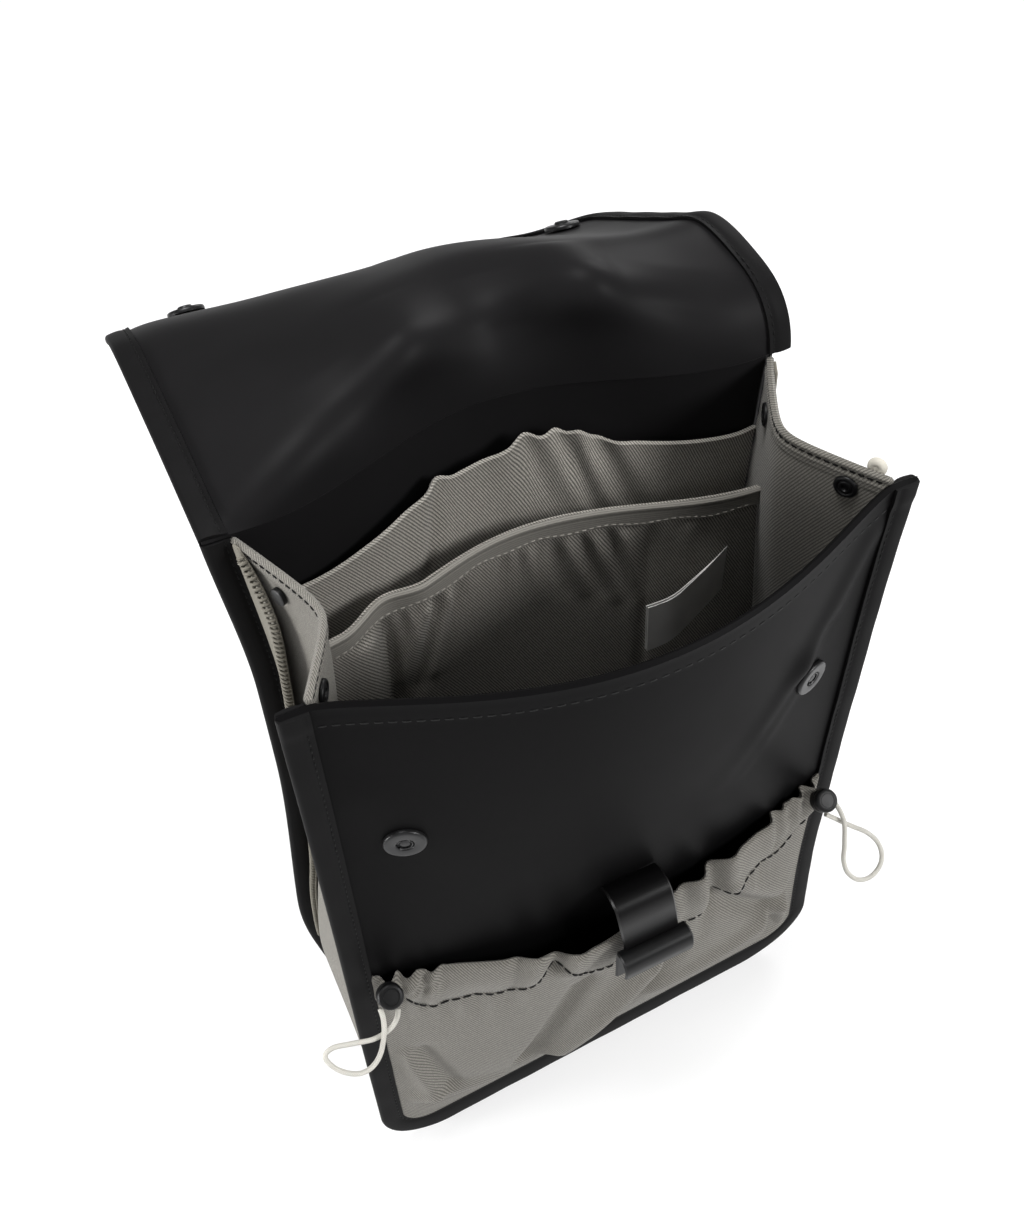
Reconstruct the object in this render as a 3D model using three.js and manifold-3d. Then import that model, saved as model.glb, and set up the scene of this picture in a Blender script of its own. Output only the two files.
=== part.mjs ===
// A mini backpack standing open on its base, in millimetres: +Z up, the front facing -Y,
// the origin on the floor in the middle of the base.
import * as THREE from "three";
import Module from "manifold-3d";

// Body of the bag
const WIDTH = 270;
const FRONT_HEIGHT = 390;
const BACK_HEIGHT = 394;
const DEPTH = 90;
const CORNER_RADIUS = 40;
const CORNER_STEPS = 4;
const FLANGE = 12;
const COATED = 1.6;
const CLOTH = 1.2;
const TAPE = 1.2;
const GAP = 0.3;
const FRONT_BOW = 36;
const BACK_BOW = 28;
const BACK_BOW_WIDTH = 230;
const BOW_RISE = 1.6;
const FRONT_BOW_ROUND = 1.3;
const FLANGE_ROLL = 62;
const FLANGE_ROLL_LOW = 230;
const FLANGE_ROLL_HIGH = 350;
const FLANGE_ROLL_REACH = 3;

// Stance: the base stands a little turned, and the middle is drawn in
const TWIST = 2.5;
const TWIST_TOP = 320;
const BASE_SHIFT_X = -1.5;
const BASE_SHIFT_Y = 2.5;
const WAIST_LEFT_FRONT = 0.006;
const WAIST_LEFT_BACK = 0.058;
const WAIST_RIGHT = 0.03;
const HEEL_BACK = 0.12;
const HEEL_RIGHT_FRONT = -0.06;
const HEEL_TOP = 130;
const WAIST_LOW = 90;
const WAIST_RISE = 160;
const WAIST_HIGH = 300;
const WAIST_FALL = 120;

// Gusset: the side and base strip
const GUSSET_TOP = 393;
const GUSSET_HEM = 374;
const FOLD_START = 190;
const FOLD_ROUND = 0.2;
const SIDE_BULGE = 9;
const SIDE_BULGE_TOP = 240;
const SIDE_BULGE_FULL = 120;
const SEAM_SHARE = 0.03;
const BASE_RISE_FRONT = 0.22;
const BASE_RISE_BACK = 0.28;

// Flap
const FLAP_LENGTH = 205;
const FLAP_CORNER = 26;
const FLAP_BINDING_START = 5;
const FLAP_STEP = 5;
const FLAP_STEEP = 80;
const FLAP_BEND_SPREAD = 26;
const FLAP_RIGHT_HINGE = 0.985;
const FLAP_RIGHT_SCALE = 0.948;
const FLAP_RIGHT_TAPER = 70;

// Front pocket
const POCKET_TOP = 192;
const POCKET_BELLY = 12;
const POCKET_MOUTH = 20;
const RUFFLE_PITCH = 9.6;
const RUFFLE_HEIGHT = 4.2;
const RUFFLE_START = 88;
const RUFFLE_DROP = 70;
const RUFFLE_CREST = 116;
const RUFFLE_FADE_IN = 14;
const RUFFLE_FADE_OUT = 3;

// Inside pockets
const SLEEVE_BOTTOM = 20;
const SLEEVE_TOP = 357;
const SLEEVE_ARCH = 15;
const SLEEVE_ARCH_LOW = 200;
const SLEEVE_GATHER_LOW = 300;
const SLEEVE_ROOM = 8.5;
const SLEEVE_FILL = 80;
const SLEEVE_CLEAR = 1;
const ORGANISER_BOTTOM = 24;
const ORGANISER_TOP = 345;
const ORGANISER_ROOM = 14.5;
const ORGANISER_FILL = 90;
const ORGANISER_FILL_DROP = 10;
const ORGANISER_SEAM_DRAW = 0.45;
const ORGANISER_SEAM_X = -73;
const ORGANISER_SEAM_WIDTH = 22;
const ORGANISER_EDGE_Y = 17.5;
const ORGANISER_CLEAR = 0.7;
const TRIM_WIDTH = 10;
const LABEL_RIGHT = 96;
const LABEL_WIDTH = 51.5;
const LABEL_BOTTOM = 284.5;
const LABEL_HEIGHT = 28;
const LABEL_LEAN = 0.65;

// Fastenings
const SNAP_DIAMETER = 18;
const SNAP_SIDES = 14;
const SNAP_Z = 299;
const FLAP_SNAP_REACH = 181;
const STUD_DIAMETER = 10.5;
const STUD_SIDES = 10;
const STUD_SHANK = 2;
const HOOK_WIDTH = 36;
const HOOK_X = 4;
const HOOK_THICK = 2;
const STRAP_WIDTH = 28;
const STRAP_THICK = 2;
const ZIP_BOTTOM = 110;
const ZIP_SHARE = 0.86;
const ZIP_END_WIDTH = 8;
const ZIP_END_HEIGHT = 17;
const ZIP_END_THICK = 2.4;
const ZIP_END_HOLE = 2.6;
const ZIP_END_TUCK = 8;
const ZIP_END_SHARE = 0.07;
const LOCK_DIAMETER = 12;
const LOCK_LENGTH = 9;
const LOCK_BEVEL = 1.8;
const LOCK_SIDES = 14;
const CORD_DIAMETER = 2.4;
const CORD_SIDES = 8;
const CORD_STEPS = 18;

// Shoulder straps
const SHOULDER_WIDTH = 46;
const SHOULDER_THICK = 8;
const SHOULDER_TOP = 380;
const SHOULDER_END = 165;
const WEB_WIDTH = 22;
const WEB_THICK = 1.8;

const FINISHES = {
  coated: { color: 0x232323, roughness: 0.55, metalness: 0 },
  binding: { color: 0x2a2a2b, roughness: 0.65, metalness: 0 },
  cloth: { color: 0x85827b, roughness: 0.85, metalness: 0 },
  trim: { color: 0x9a978f, roughness: 0.8, metalness: 0 },
  zip: { color: 0xb4b0a4, roughness: 0.75, metalness: 0 },
  metal: { color: 0x3a3a3c, roughness: 0.4, metalness: 0.6 },
  plastic: { color: 0x1f1f20, roughness: 0.5, metalness: 0 },
  cord: { color: 0xe8e5dd, roughness: 0.8, metalness: 0 },
  label: { color: 0xd8d6d0, roughness: 0.7, metalness: 0 },
  webbing: { color: 0x1c1c1d, roughness: 0.8, metalness: 0 },
};

// The inward fold of each side: its depth, and the share of the gusset's depth where it lies.
const FOLDS = {
  left: { depth: 18, line: 0.42 },
  right: { depth: 21, line: 0.5 },
};

// The direction in which the flap runs on past its bend, in degrees above the floor.
const FLAP_SLOPES = [
  { along: 0, left: 13, middle: 12, right: 9 },
  { along: 30, left: 8, middle: 7, right: 15 },
  { along: 60, left: 2, middle: -2, right: 6 },
  { along: 85, left: 1, middle: -22, right: -28 },
  { along: 110, left: -3, middle: -28, right: -29 },
  { along: 135, left: -22, middle: -36, right: -28 },
  { along: 160, left: -33, middle: -37, right: -28 },
  { along: 205, left: -50, middle: -37, right: -30 },
];

// Where the flap bends back: the distance from its hinge at places across.
const FLAP_BENDS = [
  { x: -135, along: -14 },
  { x: -118, along: 4 },
  { x: -98, along: 15 },
  { x: -70, along: 24 },
  { x: -35, along: 34 },
  { x: 0, along: 32 },
  { x: 45, along: 41 },
  { x: 70, along: 36 },
  { x: 100, along: 29 },
  { x: 135, along: 28 },
];

// How far the gathers lift the sleeve's top edge at places across.
const SLEEVE_RISES = [
  { x: -112, rise: 0 },
  { x: -45, rise: 1.5 },
  { x: -29, rise: 4 },
  { x: -12, rise: 1.5 },
  { x: 4, rise: 2.5 },
  { x: 14, rise: 7 },
  { x: 34, rise: 7.5 },
  { x: 46, rise: 2.5 },
  { x: 92, rise: 1.5 },
  { x: 112, rise: 0 },
];

// How far the front pocket stands off the panel, as shares of its two fullest places.
const POCKET_HEIGHTS = [
  { z: 12, belly: 0, mouth: 0 },
  { z: 30, belly: 0.62, mouth: 0 },
  { z: 52, belly: 0.92, mouth: 0 },
  { z: 80, belly: 1, mouth: 0.05 },
  { z: 115, belly: 0.86, mouth: 0.16 },
  { z: 150, belly: 0.42, mouth: 0.55 },
  { z: 175, belly: 0.08, mouth: 0.92 },
  { z: 195, belly: 0, mouth: 1 },
];
const POCKET_MOUTHS = [
  { x: -123, open: 0 },
  { x: -104, open: 0.1 },
  { x: -75, open: 0.38 },
  { x: -50, open: 0.68 },
  { x: -25, open: 1 },
  { x: 0, open: 0.8 },
  { x: 20, open: 0.62 },
  { x: 45, open: 0.5 },
  { x: 70, open: 0.45 },
  { x: 100, open: 0.15 },
  { x: 123, open: 0 },
];

// The closure strap and its hook, seen from the side.
const CLOSURE_LINE = [
  { y: -64.6, z: 214 },
  { y: -69.8, z: 216 },
  { y: -75.6, z: 215.5 },
  { y: -79.6, z: 212 },
  { y: -81.7, z: 206 },
  { y: -82.2, z: 195 },
  { y: -82.2, z: 182.7 },
];
const HOOK_LINE = [
  { y: -82.2, z: 159 },
  { y: -82.2, z: 179 },
  { y: -83.6, z: 181.4 },
  { y: -86.4, z: 181.6 },
  { y: -90, z: 179.6 },
  { y: -91.8, z: 175 },
  { y: -92, z: 165 },
];

// The free cord loops, from one hole of the lock round to the other.
const LOOP_LEFT = [
  { x: -124.2, y: -62.2, z: 190.1 },
  { x: -124.6, y: -66.4, z: 187.2 },
  { x: -126.7, y: -70.9, z: 182.5 },
  { x: -131.0, y: -75.8, z: 176.6 },
  { x: -136.4, y: -78.3, z: 173.3 },
  { x: -142.3, y: -78.3, z: 172.5 },
  { x: -148.3, y: -76.0, z: 175.0 },
  { x: -152.6, y: -72.4, z: 178.7 },
  { x: -154.0, y: -68.6, z: 182.6 },
  { x: -149.5, y: -67.2, z: 184.1 },
  { x: -140.6, y: -68.3, z: 182.1 },
  { x: -131.2, y: -69.3, z: 179.6 },
  { x: -123.0, y: -68.5, z: 180.4 },
  { x: -118.5, y: -66.5, z: 183.6 },
  { x: -116.6, y: -64.5, z: 188.2 },
];
const LOOP_RIGHT = [
  { x: 122.2, y: -59.0, z: 185.9 },
  { x: 123.1, y: -63.3, z: 183.0 },
  { x: 123.1, y: -67.9, z: 178.3 },
  { x: 119.9, y: -74.7, z: 170.7 },
  { x: 117.3, y: -79.2, z: 165.1 },
  { x: 117.6, y: -83.7, z: 159.5 },
  { x: 121.9, y: -87.7, z: 155.4 },
  { x: 128.7, y: -88.7, z: 154.3 },
  { x: 135.2, y: -86.8, z: 156.4 },
  { x: 138.7, y: -83.2, z: 160.1 },
  { x: 138.5, y: -78.2, z: 165.3 },
  { x: 134.8, y: -73.1, z: 169.6 },
  { x: 128.8, y: -68.7, z: 173.1 },
  { x: 124.3, y: -65.7, z: 176.0 },
  { x: 120.0, y: -63.2, z: 179.4 },
  { x: 115.2, y: -61.6, z: 183.9 },
];

// The shoulder strap and its web, from the top down: place across, height, distance off the back.
const SHOULDER_ROUTE = [
  { along: 0, x: 52, z: SHOULDER_TOP, off: 4.8 },
  { along: 0.25, x: 56, z: 330, off: 24 },
  { along: 0.5, x: 64, z: 275, off: 33 },
  { along: 0.75, x: 74, z: 218, off: 28 },
  { along: 1, x: 84, z: SHOULDER_END, off: 18 },
];
const WEB_ROUTE = [
  { along: 0, x: 84.5, z: SHOULDER_END - 1, off: 18 },
  { along: 0.5, x: 95, z: 122, off: 10 },
  { along: 1, x: 106, z: 76, off: 1.4 },
];

const smooth = (t) => {
  const s = Math.min(1, Math.max(0, t));
  return s * s * (3 - 2 * s);
};
const mix = (a, b, t) => a + (b - a) * t;
const steps = (from, to, count) => Array.from({ length: count + 1 }, (_, i) => mix(from, to, i / count));
const mirrored = (half) => [...half.map((value) => -value), ...half.slice(0, -1).reverse()];

// Reads a column of a table at a place between its rows, on a smooth curve through them.
function between(rows, place, column, at) {
  const last = rows.length - 1;
  const t = Math.min(rows[last][place], Math.max(rows[0][place], at));
  const i = Math.min(last - 1, Math.max(0, rows.findIndex((row) => row[place] >= t) - 1));
  const slope = (k) => {
    const low = rows[Math.max(0, k - 1)];
    const high = rows[Math.min(last, k + 1)];
    return (high[column] - low[column]) / (high[place] - low[place]);
  };
  const span = rows[i + 1][place] - rows[i][place];
  const s = (t - rows[i][place]) / span;
  const rise = (1 - s) * (1 - s) * s * span * slope(i) - (1 - s) * s * s * span * slope(i + 1);
  return mix(rows[i][column], rows[i + 1][column], smooth(s)) + rise;
}

// Turns a closed mesh so that its faces look out.
function facingOut(geometry) {
  const place = geometry.getAttribute("position");
  const index = geometry.getIndex();
  const [a, b, c] = [new THREE.Vector3(), new THREE.Vector3(), new THREE.Vector3()];
  let volume = 0;
  for (let i = 0; i < index.count; i += 3) {
    a.fromBufferAttribute(place, index.getX(i));
    b.fromBufferAttribute(place, index.getX(i + 1));
    c.fromBufferAttribute(place, index.getX(i + 2));
    volume += a.dot(b.cross(c));
  }
  if (volume < 0) {
    const turned = Array.from(index.array).reverse();
    geometry.setIndex(turned);
  }
  return geometry;
}

// A closed solid through rings of points that all have the same count.
function loft(rings, capFaces) {
  const count = rings[0].length;
  const last = (rings.length - 1) * count;
  const index = [];
  for (let ring = 0; ring < rings.length - 1; ring++) {
    for (let i = 0; i < count; i++) {
      const a = ring * count + i;
      const b = ring * count + ((i + 1) % count);
      index.push(a, b, b + count, a, b + count, a + count);
    }
  }
  for (const [a, b, c] of capFaces) {
    index.push(c, b, a, last + a, last + b, last + c);
  }
  const geometry = new THREE.BufferGeometry();
  const places = rings.flat().flatMap((point) => point.toArray());
  geometry.setAttribute("position", new THREE.Float32BufferAttribute(places, 3));
  geometry.setIndex(index);
  return facingOut(geometry);
}

// The point of a surface at (a, b), lifted along the surface's normal.
function lifted(surface, a, b, lift) {
  const reach = 0.05;
  const across = surface(a + reach, b).sub(surface(a - reach, b));
  const along = surface(a, b + reach).sub(surface(a, b - reach));
  const normal = across.cross(along).normalize();
  return surface(a, b).addScaledVector(normal, lift);
}

// A sheet of even thickness on a surface; each row gives the places of its columns.
function sheet(rows, surface, thickness) {
  const count = rows[0].length;
  const rings = rows.map((row) => {
    const outer = row.map(([a, b]) => lifted(surface, a, b, thickness / 2));
    const inner = row.map(([a, b]) => lifted(surface, a, b, -thickness / 2));
    return [...outer, ...inner.reverse()];
  });
  const caps = [];
  for (let i = 0; i < count - 1; i++) {
    const under = 2 * count - 1 - i;
    caps.push([i, i + 1, under - 1], [i, under - 1, under]);
  }
  return loft(rings, caps);
}

// A U of tape folded over the edge of a sheet, along stations with an outward direction.
function foldedTape(stations, surface, thickness, width) {
  const inside = thickness / 2 + GAP;
  const outside = inside + TAPE;
  const section = [
    [width, -inside],
    [TAPE, -inside],
    [TAPE, inside],
    [width, inside],
    [width, outside],
    [0, outside],
    [0, -outside],
    [width, -outside],
  ];
  const rings = stations.map(({ a, b, outA, outB }) =>
    section.map(([inset, lift]) => lifted(surface, a - outA * inset, b - outB * inset, lift)),
  );
  const outline = section.map(([inset, lift]) => new THREE.Vector2(inset, lift));
  return loft(rings, THREE.ShapeUtils.triangulateShape(outline, []));
}

// The bound edge of a panel that has two rounded corners at b = 0.
function boundEdge(halfWidth, radius, sides, bases) {
  const left = sides.map((b) => ({ a: -halfWidth, b, outA: -1, outB: 0 }));
  const corner = (side) => (turn) => ({
    a: side * (halfWidth - radius + radius * Math.cos(turn)),
    b: radius - radius * Math.sin(turn),
    outA: side * Math.cos(turn),
    outB: -Math.sin(turn),
  });
  const turns = steps(0, Math.PI / 2, CORNER_STEPS);
  const base = bases.map((a) => ({ a, b: 0, outA: 0, outB: -1 }));
  const right = sides.map((b) => ({ a: halfWidth, b, outA: 1, outB: 0 })).reverse();
  const rightTurns = [...turns].reverse();
  return [...left, ...turns.map(corner(-1)), ...base, ...rightTurns.map(corner(1)), ...right];
}

// Rows of a panel with two rounded corners at b = 0: b runs up, a across.
function roundedRows(halfWidth, radius, heights, shares) {
  const halfAt = (b) => {
    const drop = Math.max(0, radius - b);
    return halfWidth - radius + Math.sqrt(Math.max(0, radius * radius - drop * drop));
  };
  const low = steps(0, Math.PI / 2, CORNER_STEPS).map((turn) => radius - radius * Math.cos(turn));
  return [...low, ...heights].map((b) => shares.map((share) => [share * halfAt(b), b]));
}

function tube(route, diameter, sides, count) {
  const curve = new THREE.CatmullRomCurve3(route.map(({ x, y, z }) => new THREE.Vector3(x, y, z)));
  const ring = new THREE.Shape();
  const turns = steps(0, 2 * Math.PI, sides).slice(0, -1);
  ring.setFromPoints(
    turns.map((turn) => new THREE.Vector2(Math.cos(turn), Math.sin(turn)).multiplyScalar(diameter / 2)),
  );
  return new THREE.ExtrudeGeometry(ring, { steps: count, extrudePath: curve });
}

// A turned piece whose axis, +Y in its profile, is laid along a direction from a point.
function turned(profile, sides, point, direction) {
  const points = profile.map(({ radius, height }) => new THREE.Vector2(radius, height));
  const geometry = new THREE.LatheGeometry(points, sides);
  const turn = new THREE.Quaternion().setFromUnitVectors(new THREE.Vector3(0, 1, 0), direction);
  geometry.applyQuaternion(turn);
  geometry.translate(point.x, point.y, point.z);
  return geometry;
}

// An outline in the YZ plane drawn out along X about a middle.
function drawnAcross(outline, middle, width) {
  const shape = new THREE.Shape(outline.map(([y, z]) => new THREE.Vector2(y, z)));
  const geometry = new THREE.ExtrudeGeometry(shape, { depth: width, bevelEnabled: false });
  const turn = new THREE.Matrix4().makeBasis(
    new THREE.Vector3(0, 1, 0),
    new THREE.Vector3(0, 0, 1),
    new THREE.Vector3(1, 0, 0),
  );
  geometry.applyMatrix4(turn);
  geometry.translate(middle - width / 2, 0, 0);
  return geometry;
}

// The outline of a strip of even thickness along a line of points.
function strip(line, thickness) {
  const sides = [1, -1].map((side) =>
    line.map(({ y, z }, i) => {
      const before = line[Math.max(0, i - 1)];
      const after = line[Math.min(line.length - 1, i + 1)];
      const length = Math.hypot(after.y - before.y, after.z - before.z);
      const shift = (side * thickness) / 2 / length;
      return [y - (after.z - before.z) * shift, z + (after.y - before.y) * shift];
    }),
  );
  return [...sides[0], ...sides[1].reverse()];
}

const bowUp = (z) => {
  const t = Math.max(0, z) / FRONT_HEIGHT;
  return t ** BOW_RISE * (BOW_RISE + (1 - BOW_RISE) * t);
};
const bowInner = WIDTH / 2 - FLANGE;
const frontBow = (x, z) => FRONT_BOW * Math.max(0, 1 - (x / bowInner) ** 2) ** FRONT_BOW_ROUND * bowUp(z);
const backBow = (x, z) => {
  const t = Math.min(1, Math.abs((2 * x) / BACK_BOW_WIDTH));
  return BACK_BOW * Math.cos((t * Math.PI) / 2) ** 2 * bowUp(z);
};
const frontSurface = (x, z) => new THREE.Vector3(x, -DEPTH / 2 - frontBow(x, z), z);

// The back panel, whose right flange rolls backwards near the top.
function backSurface(x, z) {
  const point = new THREE.Vector3(x, DEPTH / 2 + backBow(x, z), z);
  const past = x - bowInner + FLANGE_ROLL_REACH;
  if (past > 0) {
    const roll = smooth((z - FLANGE_ROLL_LOW) / (FLANGE_ROLL_HIGH - FLANGE_ROLL_LOW));
    const curved = Math.min(past, FLANGE_ROLL_REACH);
    const bend = THREE.MathUtils.degToRad(FLANGE_ROLL) * roll * (curved / FLANGE_ROLL_REACH);
    const start = x - past;
    point.x = start + curved * Math.cos(bend / 2) + (past - curved) * Math.cos(bend);
    point.y += curved * Math.sin(bend / 2) + (past - curved) * Math.sin(bend);
  }
  return point;
}

// Gusset surface
const insetEdge = FLANGE + GAP + CLOTH / 2;
const pathHalf = WIDTH / 2 - insetEdge;
const pathRadius = CORNER_RADIUS - insetEdge;
const baseSag = insetEdge - CLOTH / 2;
const gussetDepth = DEPTH - COATED - 4 * GAP;

const foldShare = (share, line) => {
  const t = share < line ? share / line : (1 - share) / (1 - line);
  const corner = (value) => Math.hypot(value, FOLD_ROUND) - FOLD_ROUND;
  return 1 - corner(1 - t) / corner(1);
};
const baseShare = (share) =>
  smooth((share - SEAM_SHARE) / (BASE_RISE_FRONT - SEAM_SHARE)) *
  smooth((1 - share - SEAM_SHARE) / (BASE_RISE_BACK - SEAM_SHARE));
const foldUp = (z) => smooth((z - FOLD_START) / (GUSSET_TOP - FOLD_START));
const bulgeUp = (z) => 1 - smooth((z - SIDE_BULGE_FULL) / (SIDE_BULGE_TOP - SIDE_BULGE_FULL));
const foldOf = (side) => (side < 0 ? FOLDS.left : FOLDS.right);
const foldAt = (z, share, side) => {
  const { depth, line } = foldOf(side);
  return depth * foldUp(z) * foldShare(share, line);
};
const sideOut = (z, share, side) => SIDE_BULGE * bulgeUp(z) * baseShare(share) - foldAt(z, share, side);

const sideLength = GUSSET_TOP - CORNER_RADIUS;
const cornerLength = (Math.PI / 2) * pathRadius;
const baseLength = 2 * (pathHalf - pathRadius);

// The gusset's surface: a run along the strip from the left top edge, and a share of its depth.
function gussetSurface(run, share) {
  const y = (share - 0.5) * gussetDepth;
  const total = 2 * sideLength + 2 * cornerLength + baseLength;
  const side = run < total / 2 ? -1 : 1;
  const down = Math.min(run, total - run);
  if (down <= sideLength) {
    const z = GUSSET_TOP - down;
    return new THREE.Vector3(side * (pathHalf + sideOut(z, share, side)), y, z);
  }
  if (down <= sideLength + cornerLength) {
    const turn = (down - sideLength) / pathRadius;
    const out = pathRadius + mix(SIDE_BULGE, baseSag, smooth(turn / (Math.PI / 2))) * baseShare(share);
    const x = side * (pathHalf - pathRadius + out * Math.cos(turn));
    return new THREE.Vector3(x, y, CORNER_RADIUS - out * Math.sin(turn));
  }
  const x = side * (pathHalf - pathRadius - (down - sideLength - cornerLength));
  return new THREE.Vector3(x, y, insetEdge - baseSag * baseShare(share));
}
const runOnSide = (side, z) => {
  const total = 2 * sideLength + 2 * cornerLength + baseLength;
  return side < 0 ? GUSSET_TOP - z : total - (GUSSET_TOP - z);
};

// The inner half width of the body at a height, for a sheet whose edge lies at depth y.
function innerHalf(z, y, side) {
  const share = y / gussetDepth + 0.5;
  const drop = Math.max(0, CORNER_RADIUS - z);
  const half = pathHalf - pathRadius + Math.sqrt(pathRadius * pathRadius - drop * drop);
  return half - CLOTH / 2 - foldAt(z, share, side);
}

// Flap surface: x across, and the distance from the hinge. It stands steeply up to its bend.
function flapSlope(x, along) {
  const t = (2 * x) / WIDTH;
  const middle = between(FLAP_SLOPES, "along", "middle", along);
  const edge = between(FLAP_SLOPES, "along", t < 0 ? "left" : "right", along);
  const bend = between(FLAP_BENDS, "x", "along", x);
  const bent = smooth((along - bend) / FLAP_BEND_SPREAD + 0.5);
  return THREE.MathUtils.degToRad(mix(FLAP_STEEP, mix(middle, edge, smooth(Math.abs(t))), bent));
}
function flapSurface(x, along) {
  const flat = (COATED / 2) * Math.cos(flapSlope(x, 0));
  const y = DEPTH / 2 + backBow(x, BACK_HEIGHT) - flat;
  const right = mix(FLAP_RIGHT_HINGE, FLAP_RIGHT_SCALE, smooth(along / FLAP_RIGHT_TAPER));
  const point = new THREE.Vector3(x < 0 ? x : x * right, y, BACK_HEIGHT + GAP + flat);
  const count = Math.max(1, Math.ceil(Math.abs(along) / FLAP_STEP));
  for (let i = 0; i < count; i++) {
    const slope = flapSlope(x, ((i + 0.5) / count) * along);
    point.y += (Math.cos(slope) * along) / count;
    point.z += (Math.sin(slope) * along) / count;
  }
  return point;
}
const flapPattern = (x, fromEnd) => flapSurface(x, FLAP_LENGTH - fromEnd);

// Front pocket surface
const pocketHalf = WIDTH / 2 - FLANGE - GAP;
function pocketRoom(x, z) {
  const round = Math.max(0, 1 - (x / pocketHalf) ** 2);
  const belly = POCKET_BELLY * between(POCKET_HEIGHTS, "z", "belly", z) * round;
  const open = between(POCKET_MOUTHS, "x", "open", x);
  return belly + POCKET_MOUTH * between(POCKET_HEIGHTS, "z", "mouth", z) * open;
}
function ruffle(x, z) {
  const edge = Math.abs(x);
  const fadeIn = smooth((edge - RUFFLE_START) / RUFFLE_FADE_IN);
  const fadeOut = smooth((pocketHalf - edge) / RUFFLE_FADE_OUT);
  const up = smooth((z - POCKET_TOP + RUFFLE_DROP) / RUFFLE_DROP) ** 2;
  const wave = 0.5 + 0.5 * Math.cos((2 * Math.PI * (edge - RUFFLE_CREST)) / RUFFLE_PITCH);
  return RUFFLE_HEIGHT * fadeIn * fadeOut * up * wave;
}
function pocketSurface(x, z) {
  const point = frontSurface(x, z);
  point.y -= COATED / 2 + 2 * GAP + CLOTH / 2 + pocketRoom(x, z) + ruffle(x, z);
  return point;
}

// Inside pocket surfaces
const sleeveHalf = (z, side) => innerHalf(z, gussetDepth / 2 - 2 * CLOTH, side) - SLEEVE_CLEAR;
function sleeveSurface(x, z) {
  const arch = SLEEVE_ARCH * smooth((z - SLEEVE_ARCH_LOW) / (SLEEVE_TOP - SLEEVE_ARCH_LOW));
  const middle = Math.cos((Math.min(1, Math.abs((2 * x) / BACK_BOW_WIDTH)) * Math.PI) / 2) ** 2;
  const gathered = smooth((z - SLEEVE_GATHER_LOW) / (SLEEVE_TOP - SLEEVE_GATHER_LOW));
  const rise = between(SLEEVE_RISES, "x", "rise", x) * gathered;
  const point = backSurface(x, z + arch * middle + rise);
  const round = Math.max(0, 1 - (x / pathHalf) ** 2);
  const fill = smooth((z - SLEEVE_BOTTOM) / SLEEVE_FILL);
  point.y -= COATED / 2 + 3 * GAP + CLOTH / 2 + SLEEVE_ROOM * round * fill;
  return point;
}
const organiserHalf = (z, side) => innerHalf(z, ORGANISER_EDGE_Y, side) - ORGANISER_CLEAR;
function organiserSurface(x, z) {
  const point = backSurface(x, z);
  point.y -= COATED / 2 + 2 * GAP + CLOTH / 2 + SLEEVE_ROOM;
  const fill = smooth((z - ORGANISER_BOTTOM + ORGANISER_FILL_DROP) / ORGANISER_FILL);
  const seam = 1 - smooth(Math.abs(x - ORGANISER_SEAM_X) / ORGANISER_SEAM_WIDTH);
  const room = ORGANISER_ROOM * fill * (1 - ORGANISER_SEAM_DRAW * seam);
  point.y -= CLOTH + GAP + room;
  return point;
}

// Manifold solids for the holes that studs pass through.
const { Manifold, Mesh } = await Module().then((kernel) => {
  kernel.setup();
  return kernel;
});
function solidOf(geometry) {
  const corners = new Map();
  const place = geometry.getAttribute("position");
  const index = geometry.getIndex();
  const points = [];
  const faces = [];
  const count = index ? index.count : place.count;
  const names = [];
  for (let i = 0; i < count; i++) {
    const k = index ? index.getX(i) : i;
    const at = [place.getX(k), place.getY(k), place.getZ(k)];
    const key = at.map((value) => Math.round(value * 1e4)).join();
    if (!corners.has(key)) {
      corners.set(key, corners.size);
      points.push(...at);
    }
    names.push(corners.get(key));
  }
  for (let i = 0; i < names.length; i += 3) {
    const [a, b, c] = names.slice(i, i + 3);
    if (a !== b && b !== c && a !== c) {
      faces.push(a, b, c);
    }
  }
  const mesh = { numProp: 3, vertProperties: new Float32Array(points), triVerts: new Uint32Array(faces) };
  return new Manifold(new Mesh(mesh));
}
function geometryOf(solid) {
  const { vertProperties, triVerts, numProp } = solid.getMesh();
  const geometry = new THREE.BufferGeometry();
  const places = Array.from({ length: vertProperties.length / numProp }, (_, i) => [
    vertProperties[i * numProp],
    vertProperties[i * numProp + 1],
    vertProperties[i * numProp + 2],
  ]);
  geometry.setAttribute("position", new THREE.Float32BufferAttribute(places.flat(), 3));
  geometry.setIndex(Array.from(triVerts));
  return geometry;
}

// The stance of the standing bag: turned a little at the base and drawn in at the middle.
function stand(point) {
  const back = smooth(point.y / DEPTH + 0.5);
  const rise = smooth((point.z - WAIST_LOW) / WAIST_RISE);
  const drawn = rise * (1 - smooth((point.z - WAIST_HIGH) / WAIST_FALL));
  const waist = point.x < 0 ? mix(WAIST_LEFT_FRONT, WAIST_LEFT_BACK, back) : WAIST_RIGHT;
  const heel = mix(point.x < 0 ? 0 : HEEL_RIGHT_FRONT, HEEL_BACK, back) * (1 - smooth(point.z / HEEL_TOP));
  const x = point.x * (1 - waist * drawn - heel);
  const low = 1 - smooth(point.z / TWIST_TOP);
  const turn = THREE.MathUtils.degToRad(TWIST) * low;
  point.set(
    x * Math.cos(turn) - point.y * Math.sin(turn) + BASE_SHIFT_X * low,
    x * Math.sin(turn) + point.y * Math.cos(turn) + BASE_SHIFT_Y * low,
    point.z,
  );
  return point;
}

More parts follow.
